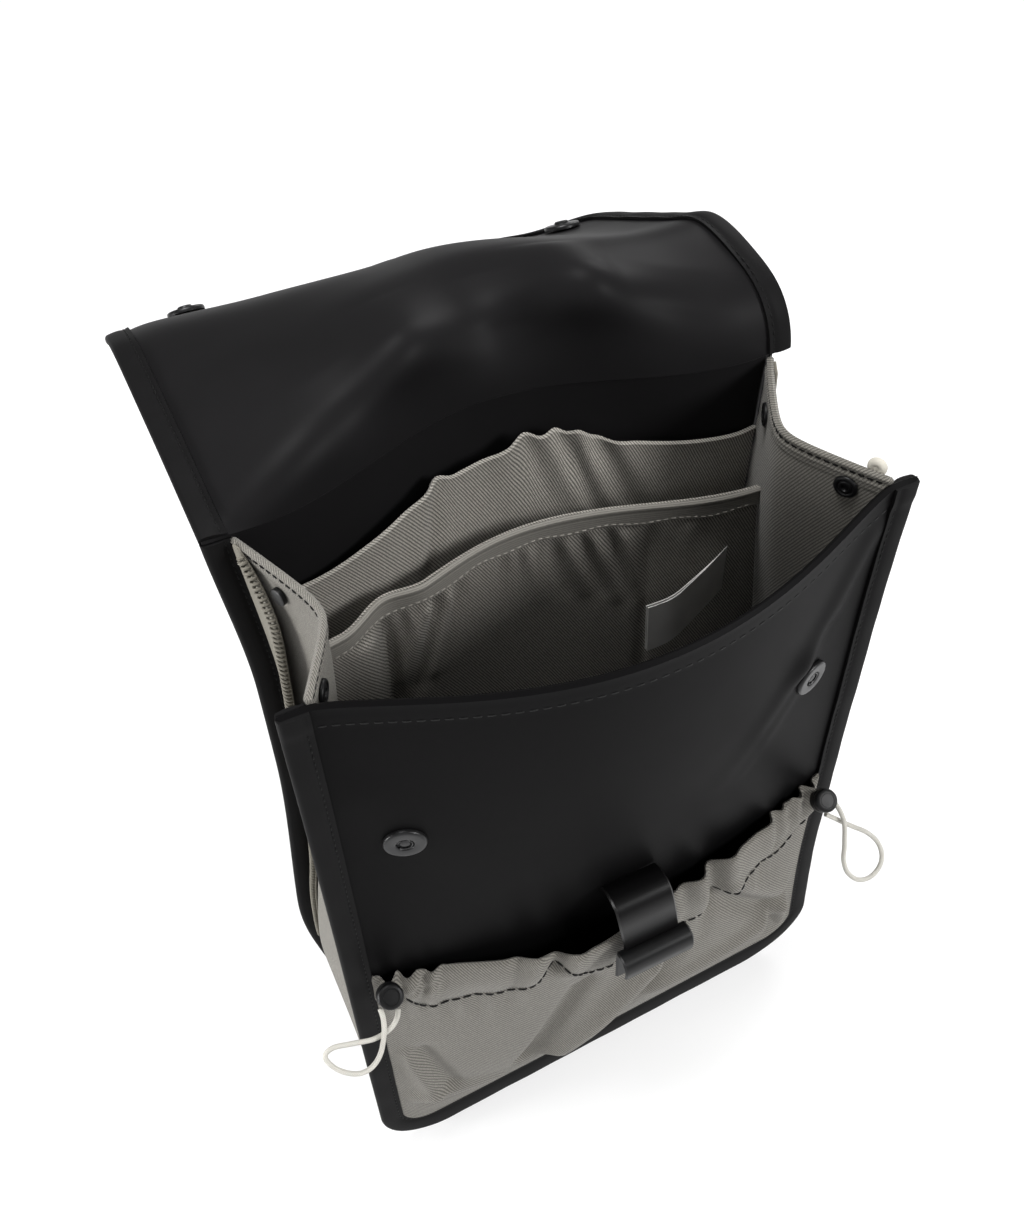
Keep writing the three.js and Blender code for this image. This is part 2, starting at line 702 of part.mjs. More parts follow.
const bag = new THREE.Group();
bag.name = "mini_backpack";
function place(name, finish, geometry) {
  const mesh = new THREE.Mesh(geometry, new THREE.MeshStandardMaterial(FINISHES[finish]));
  mesh.name = name;
  bag.add(mesh);
}
function add(name, finish, geometry) {
  const places = geometry.getAttribute("position");
  const point = new THREE.Vector3();
  for (let i = 0; i < places.count; i++) {
    stand(point.fromBufferAttribute(places, i));
    places.setXYZ(i, point.x, point.y, point.z);
  }
  place(name, finish, geometry);
}

// Front and back panels with the tape folded over their edges
const bodyRows = steps(CORNER_RADIUS, FRONT_HEIGHT, 9);
const panelShares = mirrored([1, 0.918, 0.76, 0.57, 0.38, 0.19, 0]);
const rolledShares = mirrored([1, 0.921, 0.91, 0.899, 0.68, 0.45, 0.22, 0]);
const innerShares = panelShares.slice(1, -1);
const panelInset = TAPE + GAP;
const panelHalf = WIDTH / 2 - panelInset;
const panelRadius = CORNER_RADIUS - panelInset;
const raised = (surface) => (x, b) => surface(x, b + panelInset);
const panels = [
  { name: "front", surface: frontSurface, height: FRONT_HEIGHT, shares: panelShares },
  { name: "back", surface: backSurface, height: BACK_HEIGHT, shares: rolledShares },
];
for (const { name, surface, height, shares } of panels) {
  const heights = [...bodyRows.slice(1, -1), height].map((z) => z - panelInset);
  const rows = roundedRows(panelHalf, panelRadius, heights, shares);
  add(`${name}_panel`, "coated", sheet(rows, raised(surface), COATED));
  const sides = heights.map((b) => b + panelInset).reverse();
  const edge = boundEdge(WIDTH / 2, CORNER_RADIUS, sides, [0]);
  add(`${name}_binding`, "binding", foldedTape(edge, surface, COATED, FLANGE));
}

// Gusset with holes for its four studs
const depthShares = [0, SEAM_SHARE, 0.12, 0.23, 0.34, 0.42, 0.5, 0.6, 0.72, ZIP_SHARE, 1 - SEAM_SHARE, 1];
const sideHeights = [GUSSET_TOP, GUSSET_HEM, ...bodyRows.slice(1, -1).reverse()];
const leftRuns = sideHeights.map((z) => runOnSide(-1, z));
const cornerRuns = steps(sideLength, sideLength + cornerLength, CORNER_STEPS);
const baseRuns = steps(sideLength + cornerLength, sideLength + cornerLength + baseLength, 2).slice(1, -1);
const rightRuns = sideHeights.map((z) => runOnSide(1, z)).reverse();
const farCorner = cornerRuns.map((run) => 2 * (sideLength + cornerLength) + baseLength - run).reverse();
const gussetRuns = [...leftRuns, ...cornerRuns, ...baseRuns, ...farCorner, ...rightRuns];
const gussetRows = gussetRuns.map((run) => depthShares.map((share) => [run, share]));
const gussetSheet = sheet(gussetRows, gussetSurface, CLOTH);

const studHead = STUD_DIAMETER / 2;
const studProfile = [
  { radius: 0, height: -3.2 },
  { radius: 3.6, height: -3.2 },
  { radius: 3.9, height: -2.8 },
  { radius: 3.9, height: -1.1 },
  { radius: STUD_SHANK, height: -1.1 },
  { radius: STUD_SHANK, height: 1.1 },
  { radius: studHead, height: 1.1 },
  { radius: studHead - 0.4, height: 2.3 },
  { radius: 2.2, height: 2.5 },
  { radius: 0, height: 2.1 },
];
const drillProfile = [
  { radius: 0, height: -4 },
  { radius: STUD_SHANK + GAP, height: -4 },
  { radius: STUD_SHANK + GAP, height: 4 },
  { radius: 0, height: 4 },
];
const studs = [
  { name: "left_front", side: -1, share: 0.14, z: 379 },
  { name: "left_back", side: -1, share: 0.735, z: 379 },
  { name: "right_front", side: 1, share: 0.165, z: 382 },
  { name: "right_back", side: 1, share: 0.79, z: 379 },
];
let gusset = solidOf(gussetSheet);
for (const { name, side, share, z } of studs) {
  const run = runOnSide(side, z);
  const point = gussetSurface(run, share);
  const inward = lifted(gussetSurface, run, share, 1).sub(point);
  inward.multiplyScalar(inward.x * side > 0 ? -1 : 1);
  add(`gusset_stud_${name}`, "plastic", turned(studProfile, STUD_SIDES, point, inward));
  gusset = gusset.subtract(solidOf(turned(drillProfile, STUD_SIDES, point, inward)));
}
add("gusset", "cloth", geometryOf(gusset));

// Zips on the outer faces of the gusset
const zipHeights = sideHeights.filter((z) => z >= ZIP_BOTTOM);
const zipLift = CLOTH / 2 + 3 * GAP + TAPE / 2;
for (const [name, side] of [["zip_left", -1], ["zip_right", 1]]) {
  const outward = (run, share) => {
    const point = lifted(gussetSurface, run, share, zipLift);
    const base = gussetSurface(run, share);
    return (point.x - base.x) * side > 0 ? point : base.multiplyScalar(2).sub(point);
  };
  const rows = zipHeights.map((z) => [ZIP_SHARE, 1 - SEAM_SHARE].map((share) => [runOnSide(side, z), share]));
  add(name, "zip", sheet(rows, outward, TAPE));
}

// The pale zip end that stands at the top of the right side
const endTab = new THREE.Shape();
const endHalf = ZIP_END_WIDTH / 2;
endTab.moveTo(-endHalf, 0);
endTab.lineTo(endHalf, 0);
endTab.lineTo(endHalf, ZIP_END_HEIGHT - endHalf);
endTab.absarc(0, ZIP_END_HEIGHT - endHalf, endHalf, 0, Math.PI);
const endHole = new THREE.Path();
endHole.absarc(0, ZIP_END_HEIGHT - endHalf, ZIP_END_HOLE / 2, 0, 2 * Math.PI, true);
endTab.holes.push(endHole);
const endTabShape = { depth: ZIP_END_THICK, bevelEnabled: false, curveSegments: 8 };
const zipEnd = new THREE.ExtrudeGeometry(endTab, endTabShape);
const endRun = runOnSide(1, GUSSET_TOP - ZIP_END_TUCK);
const endPoint = gussetSurface(endRun, ZIP_END_SHARE);
const endAlong = gussetSurface(endRun, ZIP_END_SHARE + SEAM_SHARE).sub(endPoint).setZ(0).normalize();
const endUp = new THREE.Vector3(0, 0, 1);
const endOut = endAlong.clone().cross(endUp);
endPoint.addScaledVector(endOut, CLOTH / 2 + 2 * GAP);
const endFrame = new THREE.Matrix4().makeBasis(endAlong, endUp, endOut).setPosition(endPoint);
add("zip_end_right", "trim", zipEnd.applyMatrix4(endFrame));

// Flap
const flapHalf = WIDTH / 2 - panelInset;
const flapRadius = FLAP_CORNER - panelInset;
const flapTop = FLAP_LENGTH - panelInset;
const flapHeights = [...steps(flapRadius, flapTop - FLAP_BINDING_START, 14).slice(1), flapTop];
const flapRows = roundedRows(flapHalf, flapRadius, flapHeights, panelShares);
add("flap", "coated", sheet(flapRows, raised(flapPattern), COATED));
const flapSides = flapHeights.slice(0, -1).map((b) => b + panelInset).reverse();
const flapBases = innerShares.map((share) => share * (flapHalf - flapRadius));
const flapEdge = boundEdge(WIDTH / 2, FLAP_CORNER, flapSides, flapBases);
add("flap_binding", "binding", foldedTape(flapEdge, flapPattern, COATED + 2 * GAP, FLANGE));

// Front pocket
const ruffled = steps(RUFFLE_START, pocketHalf, 12);
const plain = steps(0, RUFFLE_START, 7).slice(0, -1);
const pocketShares = mirrored([...plain, ...ruffled].reverse().map((x) => x / pocketHalf));
const pocketBase = FLANGE + GAP;
const pocketRadius = CORNER_RADIUS - pocketBase;
const pocketHeights = [60, 105, 148, 174, POCKET_TOP].map((z) => z - pocketBase);
const pocketRows = roundedRows(pocketHalf, pocketRadius, pocketHeights, pocketShares);
const pocketFromBase = (x, b) => pocketSurface(x, b + pocketBase);
add("front_pocket", "cloth", sheet(pocketRows, pocketFromBase, CLOTH));

// Inside pockets and the label
const insideShares = steps(-1, 1, 12);
const insideRows = (heights, halfAt) =>
  heights.map((z) => insideShares.map((share) => [share * halfAt(z, Math.sign(share)), z]));
const sleeveHeights = [SLEEVE_BOTTOM, ...bodyRows.slice(0, -2), SLEEVE_TOP];
add("laptop_sleeve", "cloth", sheet(insideRows(sleeveHeights, sleeveHalf), sleeveSurface, CLOTH));
const organiserHeights = [ORGANISER_BOTTOM, ...bodyRows.slice(0, -2), ORGANISER_TOP];
add("organiser_pocket", "cloth", sheet(insideRows(organiserHeights, organiserHalf), organiserSurface, CLOTH));
const trimSurface = (x, z) => {
  const point = organiserSurface(x, z);
  point.y -= CLOTH + GAP;
  return point;
};
const trimHeights = [ORGANISER_TOP - TRIM_WIDTH, ORGANISER_TOP];
add("organiser_trim", "trim", sheet(insideRows(trimHeights, organiserHalf), trimSurface, CLOTH));
const labelSurface = (x, z) => {
  const point = organiserSurface(x, z);
  point.y -= CLOTH + GAP + LABEL_LEAN * (LABEL_RIGHT - x);
  return point;
};
const labelColumns = steps(LABEL_RIGHT - LABEL_WIDTH, LABEL_RIGHT, 3);
const labelHeights = steps(LABEL_BOTTOM, LABEL_BOTTOM + LABEL_HEIGHT, 3);
const labelRows = labelHeights.map((z) => labelColumns.map((x) => [x, z]));
add("care_label", "label", sheet(labelRows, labelSurface, CLOTH));

// Snaps on the front and on the flap
const snapSocket = [
  { radius: 0, height: 0 },
  { radius: SNAP_DIAMETER / 2, height: 0 },
  { radius: SNAP_DIAMETER / 2, height: 1.4 },
  { radius: SNAP_DIAMETER / 2 - 0.8, height: 2 },
  { radius: 4.2, height: 2 },
  { radius: 3.6, height: 1.2 },
  { radius: 0, height: 1.2 },
];
const snapStud = [
  { radius: 0, height: 0 },
  { radius: SNAP_DIAMETER / 2, height: 0 },
  { radius: SNAP_DIAMETER / 2, height: 1.6 },
  { radius: SNAP_DIAMETER / 2 - 0.7, height: 2.2 },
  { radius: 3.6, height: 2.2 },
  { radius: 3.2, height: 3.6 },
  { radius: 0, height: 3.6 },
];
const snapSeat = COATED / 2 + 2 * GAP;
const snaps = [
  { name: "left", x: -98.5, flapX: -95 },
  { name: "right", x: 94, flapX: 104 },
];
for (const { name, x, flapX } of snaps) {
  const seat = lifted(frontSurface, x, SNAP_Z, snapSeat);
  const out = seat.clone().sub(frontSurface(x, SNAP_Z)).normalize();
  add(`front_snap_${name}`, "metal", turned(snapSocket, SNAP_SIDES, seat, out));
  const onFlap = flapSurface(flapX, FLAP_SNAP_REACH);
  const up = lifted(flapSurface, flapX, FLAP_SNAP_REACH, snapSeat + GAP).sub(onFlap);
  up.multiplyScalar(Math.sign(up.z));
  const flapSeat = onFlap.add(up);
  add(`flap_snap_${name}`, "metal", turned(snapStud, SNAP_SIDES, flapSeat, up.clone().normalize()));
}

// Closure strap and hook
add("closure_strap", "coated", drawnAcross(strip(CLOSURE_LINE, STRAP_THICK), HOOK_X, STRAP_WIDTH));
add("closure_hook", "plastic", drawnAcross(strip(HOOK_LINE, HOOK_THICK), HOOK_X, HOOK_WIDTH));

// Cord locks and their free loops
const lockProfile = [
  { radius: 0, height: -LOCK_LENGTH / 2 },
  { radius: LOCK_DIAMETER / 2 - LOCK_BEVEL, height: -LOCK_LENGTH / 2 },
  { radius: LOCK_DIAMETER / 2, height: -LOCK_LENGTH / 2 + LOCK_BEVEL },
  { radius: LOCK_DIAMETER / 2, height: LOCK_LENGTH / 2 - LOCK_BEVEL },
  { radius: LOCK_DIAMETER / 2 - 0.6, height: LOCK_LENGTH / 2 - 0.5 },
  { radius: LOCK_DIAMETER / 2 - LOCK_BEVEL, height: LOCK_LENGTH / 2 },
  { radius: 0, height: LOCK_LENGTH / 2 + 0.3 },
];
const lockFacing = new THREE.Vector3(0, -0.62, 0.785).normalize();
const locks = [
  { name: "left", x: -118.3, y: -59.7, z: 193.3, route: LOOP_LEFT },
  { name: "right", x: 116.2, y: -56.7, z: 189, route: LOOP_RIGHT },
];
for (const { name, x, y, z, route } of locks) {
  const middle = new THREE.Vector3(x, y, z);
  place(`cord_lock_${name}`, "plastic", turned(lockProfile, LOCK_SIDES, middle, lockFacing));
  place(`cord_loop_${name}`, "cord", tube(route, CORD_DIAMETER, CORD_SIDES, CORD_STEPS));
}

// Shoulder straps, each with a web down to the lower corner
const strapSurface = (route, side) => (across, along) => {
  const x = side * (between(route, "along", "x", along) + across);
  const z = between(route, "along", "z", along);
  const middle = side * between(route, "along", "x", along);
  const back = mix(backSurface(x, z).y, backSurface(middle, z).y, smooth(along * 4));
  return new THREE.Vector3(x, back + COATED / 2 + between(route, "along", "off", along), z);
};
const strapRows = (width, count) =>
  steps(0, 1, count).map((along) => steps(-width / 2, width / 2, 4).map((across) => [across, along]));
for (const [name, side] of [["left", -1], ["right", 1]]) {
  const pad = sheet(strapRows(SHOULDER_WIDTH, 12), strapSurface(SHOULDER_ROUTE, side), SHOULDER_THICK);
  add(`shoulder_strap_${name}`, "coated", pad);
  const web = sheet(strapRows(WEB_WIDTH, 6), strapSurface(WEB_ROUTE, side), WEB_THICK);
  add(`strap_webbing_${name}`, "webbing", web);
}

export default bag;
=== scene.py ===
"""Dresses a mini backpack that stands open on its base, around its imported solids.

Lengths are millimetres in the row frame until a mesh is made, and meshes are in metres in that frame:
+Z up, the front facing -Y, the origin on the floor in the middle of the base.
"""

import logging
from dataclasses import dataclass, field, replace
from enum import Enum
from functools import lru_cache
from typing import Callable, Sequence

import bmesh
import bpy
import numpy as np
from mathutils import Matrix, Vector


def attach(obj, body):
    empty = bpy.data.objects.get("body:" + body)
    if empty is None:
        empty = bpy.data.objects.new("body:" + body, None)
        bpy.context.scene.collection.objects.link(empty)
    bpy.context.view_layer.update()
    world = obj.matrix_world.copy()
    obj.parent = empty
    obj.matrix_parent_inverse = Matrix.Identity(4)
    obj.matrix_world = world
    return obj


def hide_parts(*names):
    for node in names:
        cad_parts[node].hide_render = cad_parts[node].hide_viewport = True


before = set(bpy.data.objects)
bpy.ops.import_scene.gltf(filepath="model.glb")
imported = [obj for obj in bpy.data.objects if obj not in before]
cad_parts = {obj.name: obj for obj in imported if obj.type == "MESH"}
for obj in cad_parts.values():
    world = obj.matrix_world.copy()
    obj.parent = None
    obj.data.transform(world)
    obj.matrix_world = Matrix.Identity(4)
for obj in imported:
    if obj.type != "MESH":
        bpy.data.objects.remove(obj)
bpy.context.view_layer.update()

LOG = logging.getLogger("mini_backpack")
MM = 0.001
BODY = "root"
CLOTH_MAP = "cloth"

Array = np.ndarray
Rows = Sequence[tuple[float, ...]]
Form = Callable[[Array, Array], Array]
Colour = tuple[float, float, float]
Point = tuple[float, float, float]
Pair = tuple[float, float]


class Side(Enum):
    """The bag's two sides, as seen from its front."""

    LEFT = -1
    RIGHT = 1

    @property
    def word(self) -> str:
        """The side's name in the pieces' names."""
        return self.name.lower()


class Hold(Enum):
    """How a cut of cloth is held on the bag."""

    STRETCHED = "stretched"
    GATHERED = "gathered"
    FOLDED = "folded"
    HUNG = "hung"
    DRAPED = "draped"


# Numbers and tables


def smooth(t: Array | float) -> Array:
    """Eases from 0 to 1 as t goes from 0 to 1."""
    s = np.clip(t, 0.0, 1.0)
    return s * s * (3.0 - 2.0 * s)


def mix(low: Array | float, high: Array | float, share: Array | float) -> Array:
    """The value that lies a share of the way from low to high."""
    return low + (high - low) * share


def stack(*columns: Array | float) -> Array:
    """Joins coordinates into points, or into places on a cut."""
    return np.stack(np.broadcast_arrays(*columns), axis=-1).astype(float)


def unit(vectors: Array) -> Array:
    """The vectors at length one."""
    return vectors / np.maximum(np.linalg.norm(vectors, axis=-1, keepdims=True), 1e-12)


def bell(offset: Array, width: float) -> Array:
    """A soft bump: 1 where the offset is 0, and almost nothing two widths away."""
    return np.exp(-((offset / width) ** 2))


def run_along(line: Array) -> Array:
    """The distance along a line to each of its points."""
    return np.concatenate([[0], np.cumsum(np.linalg.norm(np.diff(line, axis=0), axis=1))])


def at_run(line: Array, run: Array, places: Array) -> Array:
    """What a line holds at distances along it, between its points."""
    return np.stack([np.interp(places, run, column) for column in line.T], axis=-1)


def curve(rows: Rows, at: Array | float, column: int = 1) -> Array:
    """Reads a column of a table on a smooth curve through its rows.

    Args:
        rows: The table; its first column holds the places.
        at: Where to read it.
        column: Which column to read.

    Returns:
        The values there; past the ends, the end values.
    """
    table = np.asarray(rows, float)
    places, values = table[:, 0], table[:, column]
    last = len(places) - 1
    t = np.clip(at, places[0], places[-1])
    i = np.clip(np.searchsorted(places, t, side="left") - 1, 0, last - 1)
    low = np.maximum(np.arange(last + 1) - 1, 0)
    high = np.minimum(np.arange(last + 1) + 1, last)
    slope = (values[high] - values[low]) / (places[high] - places[low])
    span = places[i + 1] - places[i]
    s = (t - places[i]) / span
    rise = (1 - s) ** 2 * s * span * slope[i] - (1 - s) * s * s * span * slope[i + 1]
    return mix(values[i], values[i + 1], smooth(s)) + rise


def spline(points: Array, count: int) -> Array:
    """A smooth line through points, at even steps along it.

    Args:
        points: The points that the line passes through.
        count: How many points to return.

    Returns:
        The points of the line.
    """
    ends = np.vstack([2 * points[0] - points[1], points, 2 * points[-1] - points[-2]])
    t = np.linspace(0, len(points) - 1, 40 * len(points))
    i = np.minimum(t.astype(int), len(points) - 2)
    s = (t - i)[:, None]
    a, b, c, d = ends[i], ends[i + 1], ends[i + 2], ends[i + 3]
    fine = 0.5 * (2 * b + (c - a) * s + (2 * a - 5 * b + 4 * c - d) * s**2 + (3 * b - a - 3 * c + d) * s**3)
    run = run_along(fine)
    return at_run(fine, run, np.linspace(0, run[-1], count))


@dataclass(frozen=True)
class Fold:
    """A soft ridge on a cloth, or a valley where its height is negative.

    The start and end are places on the flat cut; tail is the share of the height left at the end.
    """

    start: Pair
    end: Pair
    height: float
    width: float
    tail: float = 1.0

    def at(self, a: Array, b: Array) -> Array:
        """The fold's height at places on the cut.

        Args:
            a: Places across the cut.
            b: Places along the cut.

        Returns:
            The heights, below 0 in a valley.
        """
        run = np.subtract(self.end, self.start)
        square = float(run @ run)
        along = np.clip(((a - self.start[0]) * run[0] + (b - self.start[1]) * run[1]) / square, 0, 1)
        off_a = a - self.start[0] - along * run[0]
        off_b = b - self.start[1] - along * run[1]
        return self.height * mix(1, self.tail, along) * bell(np.hypot(off_a, off_b), self.width)


def folds_of(rows: Rows) -> tuple[Fold, ...]:
    """Folds from rows of their start, end, height, width and, where it isn't 1, tail."""
    return tuple(Fold((a, b), (c, d), *rest) for a, b, c, d, *rest in rows)


# The bag's forms


@dataclass(frozen=True)
class Bag:
    """The sizes of the whole bag and the forms of its cloths, before folds."""

    width: float = 270.0
    front_height: float = 390.0
    back_height: float = 394.0
    depth: float = 90.0
    corner: float = 40.0
    flange: float = 12.0
    coated: float = 1.6
    cloth: float = 1.2
    tape: float = 1.2
    gap: float = 0.3
    cut_share: float = 0.98
    front_bow: float = 36.0
    front_bow_round: float = 1.3
    back_bow: float = 28.0
    back_bow_width: float = 230.0
    bow_rise: float = 1.6
    roll: float = 62.0
    roll_low: float = 230.0
    roll_high: float = 350.0
    roll_reach: float = 3.0
    twist: float = 2.5
    twist_top: float = 320.0
    base_shift: Pair = (-1.5, 2.5)
    waist_left: Pair = (0.006, 0.058)
    waist_right: float = 0.03
    waist_low: float = 90.0
    waist_rise: float = 160.0
    waist_high: float = 300.0
    waist_fall: float = 120.0
    heel_back: float = 0.12
    heel_right_front: float = -0.06
    heel_top: float = 130.0

    @property
    def inset(self) -> float:
        """How far a panel's raw edge lies inside its folded tape."""
        return self.tape + self.gap

    @property
    def bow_inner(self) -> float:
        """Half the width that bows between the flanges."""
        return self.width / 2 - self.flange

    def bow_up(self, z: Array) -> Array:
        """The share of the bow at a height."""
        t = np.maximum(z, 0.0) / self.front_height
        return t**self.bow_rise * (self.bow_rise + (1 - self.bow_rise) * t)

    def front(self, x: Array, z: Array) -> Array:
        """The front wall at places across and up."""
        bow = self.front_bow * np.maximum(0, 1 - (x / self.bow_inner) ** 2) ** self.front_bow_round
        return stack(x, -self.depth / 2 - bow * self.bow_up(z), z)

    def back_middle(self, x: Array) -> Array:
        """How much of the back's bow a place across has."""
        return np.cos(np.minimum(1, np.abs(2 * x / self.back_bow_width)) * np.pi / 2) ** 2

    def back(self, x: Array, z: Array) -> Array:
        """The back wall, whose right flange rolls backwards near the top.

        Args:
            x: Places across.
            z: Heights.

        Returns:
            The points.
        """
        x, z = np.broadcast_arrays(np.asarray(x, float), np.asarray(z, float))
        y = self.depth / 2 + self.back_bow * self.back_middle(x) * self.bow_up(z)
        past = np.maximum(0, x - self.bow_inner + self.roll_reach)
        curved = np.minimum(past, self.roll_reach)
        rolled = smooth((z - self.roll_low) / (self.roll_high - self.roll_low))
        bend = np.radians(self.roll) * rolled * curved / self.roll_reach
        flat = past - curved
        return stack(
            x - past + curved * np.cos(bend / 2) + flat * np.cos(bend),
            y + curved * np.sin(bend / 2) + flat * np.sin(bend),
            z,
        )

    def stand(self, points: Array) -> Array:
        """The stance: turned a little at the base, and drawn in at the middle.

        Args:
            points: Points of the bag before it stands.

        Returns:
            The same points as the bag stands.
        """
        x, y, z = points[..., 0], points[..., 1], points[..., 2]
        back = smooth(y / self.depth + 0.5)
        drawn = smooth((z - self.waist_low) / self.waist_rise)
        drawn = drawn * (1 - smooth((z - self.waist_high) / self.waist_fall))
        waist = np.where(x < 0, mix(*self.waist_left, back), self.waist_right)
        heel_front = np.where(x < 0, 0.0, self.heel_right_front)
        heel = mix(heel_front, self.heel_back, back) * (1 - smooth(z / self.heel_top))
        x = x * (1 - waist * drawn - heel)
        low = 1 - smooth(z / self.twist_top)
        turn = np.radians(self.twist) * low
        return stack(
            x * np.cos(turn) - y * np.sin(turn) + self.base_shift[0] * low,
            x * np.sin(turn) + y * np.cos(turn) + self.base_shift[1] * low,
            z,
        )


BAG = Bag()


@dataclass(frozen=True)
class Cloth:
    """A cloth laid in space: its form, its folds and a finer relief, towards the side that shows.

    Outward is 1 where the form's own normal looks to that side, and -1 where it looks away.
    """

    form: Form
    outward: int = 1
    folds: tuple[Fold, ...] = ()
    relief: Form | None = None

    def at(self, a: Array, b: Array, lift: Array | float = 0.0) -> Array:
        """Points of the cloth in the bag's stance.

        Args:
            a: Places across the cut.
            b: Places along the cut.
            lift: How far off the middle of the cloth, towards the side that shows.

        Returns:
            The points.
        """
        a, b = np.broadcast_arrays(np.asarray(a, float), np.asarray(b, float))
        reach = 0.05
        across = self.form(a + reach, b) - self.form(a - reach, b)
        along = self.form(a, b + reach) - self.form(a, b - reach)
        normal = unit(np.cross(across, along)) * self.outward
        height = np.zeros(a.shape) + lift
        for fold in self.folds:
            height = height + fold.at(a, b)
        if self.relief is not None:
            height = height + self.relief(a, b)
        return BAG.stand(self.form(a, b) + normal * height[..., None])

    def facing(self, a: Array, b: Array) -> Array:
        """The directions in which the cloth looks at places on its cut."""
        return unit(self.at(a, b, 1.0) - self.at(a, b))


# Meshes


@dataclass
class Build:
    """The points, faces and cloth coordinates of one mesh as it grows."""

    points: list[Array] = field(default_factory=list)
    faces: list[list[int]] = field(default_factory=list)
    cloth: list[Array] = field(default_factory=list)
    count: int = 0

    def add(self, points: Array, faces: Array, cloth: Array | None = None) -> None:
        """Adds one body.

        Args:
            points: Its points, one row each.
            faces: Its faces, as numbers of those points.
            cloth: Its places on the cut, or None for a body that has none.
        """
        flat = points.reshape(-1, 3)
        self.points.append(flat)
        self.faces.extend((np.asarray(faces) + self.count).tolist())
        self.cloth.append(np.zeros((len(flat), 2)) if cloth is None else cloth.reshape(-1, 2))
        self.count += len(flat)

    def shell(self, outer: Array, inner: Array, cloth: Array) -> "Build":
        """Adds a closed sheet with a rounded rim between two grids of points.

        Args:
            outer: The grid of the side that shows.
            inner: The same grid on the other side.
            cloth: The grid of places on the cut.

        Returns:
            This mesh.
        """
        rows, columns = outer.shape[:2]
        grid = np.arange(rows * columns).reshape(rows, columns)
        quads = np.stack([grid[:-1, :-1], grid[:-1, 1:], grid[1:, 1:], grid[1:, :-1]], axis=-1).reshape(-1, 4)
        edge = np.concatenate([grid[0, :-1], grid[:-1, -1], grid[-1, :0:-1], grid[:0:-1, 0]])
        at_row, at_column = np.unravel_index(edge, (rows, columns))
        near = (np.clip(at_row, 1, rows - 2), np.clip(at_column, 1, columns - 2))
        middle = (outer + inner) / 2
        thick = np.linalg.norm(outer - inner, axis=-1)[at_row, at_column, None]
        rim = middle[at_row, at_column]
        step = np.maximum(np.linalg.norm(rim - middle[near], axis=-1, keepdims=True), 1e-6)
        rim = rim + unit(rim - middle[near]) * thick * 0.45
        places = cloth[at_row, at_column]
        places = places + (places - cloth[near]) * thick / step
        size = rows * columns
        ring = 2 * size + np.arange(len(edge))
        after, ring_after = np.roll(edge, -1), np.roll(ring, -1)
        sides = [
            quads,
            quads[:, ::-1] + size,
            np.stack([after, edge, ring, ring_after], axis=1),
            np.stack([ring_after, ring, edge + size, after + size], axis=1),
        ]
        points = np.concatenate([outer.reshape(-1, 3), inner.reshape(-1, 3), rim])
        self.add(points, np.concatenate(sides), np.concatenate([*[cloth.reshape(-1, 2)] * 2, places]))
        return self

    def sheet(
        self, cloth: Cloth, a: Array, b: Array, thickness: Array | float, cut: Array | None = None
    ) -> "Build":
        """Adds a sheet of cloth over a grid of places on its form.

        Args:
            cloth: The cloth.
            a: The places' first coordinate.
            b: Their second coordinate.
            thickness: The cloth's thickness, or one for each place.
            cut: The places in millimetres on the cut, where the form counts in other units.

        Returns:
            This mesh.
        """
        half = np.broadcast_to(thickness, a.shape) / 2
        places = stack(a, b) if cut is None else cut
        return self.shell(cloth.at(a, b, half), cloth.at(a, b, -half), places)

    def rings(self, rings: Array, cloth: Array | None = None) -> "Build":
        """Adds a closed body through rings of points, capped at both ends.

        Args:
            rings: The rings, each with the same count of points.
            cloth: Places on the cut for each point, or None.

        Returns:
            This mesh.
        """
        count, sides = rings.shape[:2]
        grid = np.arange(count * sides).reshape(count, sides)
        turned = np.roll(grid, -1, axis=1)
        quads = np.stack([grid[:-1], turned[:-1], turned[1:], grid[1:]], axis=-1).reshape(-1, 4)
        start = self.count
        self.add(rings, quads, cloth)
        self.faces.append((grid[0, ::-1] + start).tolist())
        self.faces.append((grid[-1] + start).tolist())
        return self

    def turned(self, profile: Rows, sides: int, seat: Array, axis: Array) -> "Build":
        """Adds a turned piece.

        Args:
            profile: Rows of radius and height, the first and last on the axis.
            sides: How many sides the rounds have.
            seat: Where the profile's height 0 lies.
            axis: The direction of its height.

        Returns:
            This mesh.
        """
        table = np.maximum(np.asarray(profile, float), [[1e-3, -np.inf]])
        axis = unit(axis)
        across = unit(np.cross(axis, [0.31, 0.87, 0.38]))
        other = np.cross(axis, across)
        turns = np.linspace(0, 2 * np.pi, sides, endpoint=False)
        round_about = np.cos(turns)[:, None] * across + np.sin(turns)[:, None] * other
        return self.rings(seat + table[:, 0, None, None] * round_about + table[:, 1, None, None] * axis)

    def made(self, name: str, sharp: float = 42.0) -> bpy.types.Object:
        """Makes the object.

        Args:
            name: The object's name.
            sharp: Edges that turn by more than this many degrees stay crisp.

        Returns:
            The object, in metres.
        """
        mesh = bpy.data.meshes.new(name)
        mesh.from_pydata(np.concatenate(self.points) * MM, [], self.faces)
        places = np.concatenate(self.cloth)
        corners = np.zeros(len(mesh.loops), np.int32)
        mesh.loops.foreach_get("vertex_index", corners)
        layer = mesh.uv_layers.new(name=CLOTH_MAP)
        layer.data.foreach_set("uv", places[corners].astype(np.float32).ravel())
        work = bmesh.new()
        work.from_mesh(mesh)
        bmesh.ops.recalc_face_normals(work, faces=work.faces)
        work.to_mesh(mesh)
        work.free()
        mesh.shade_smooth()
        mesh.set_sharp_from_angle(angle=np.radians(sharp))
        made = bpy.data.objects.new(name, mesh)
        bpy.context.scene.collection.objects.link(made)
        return made


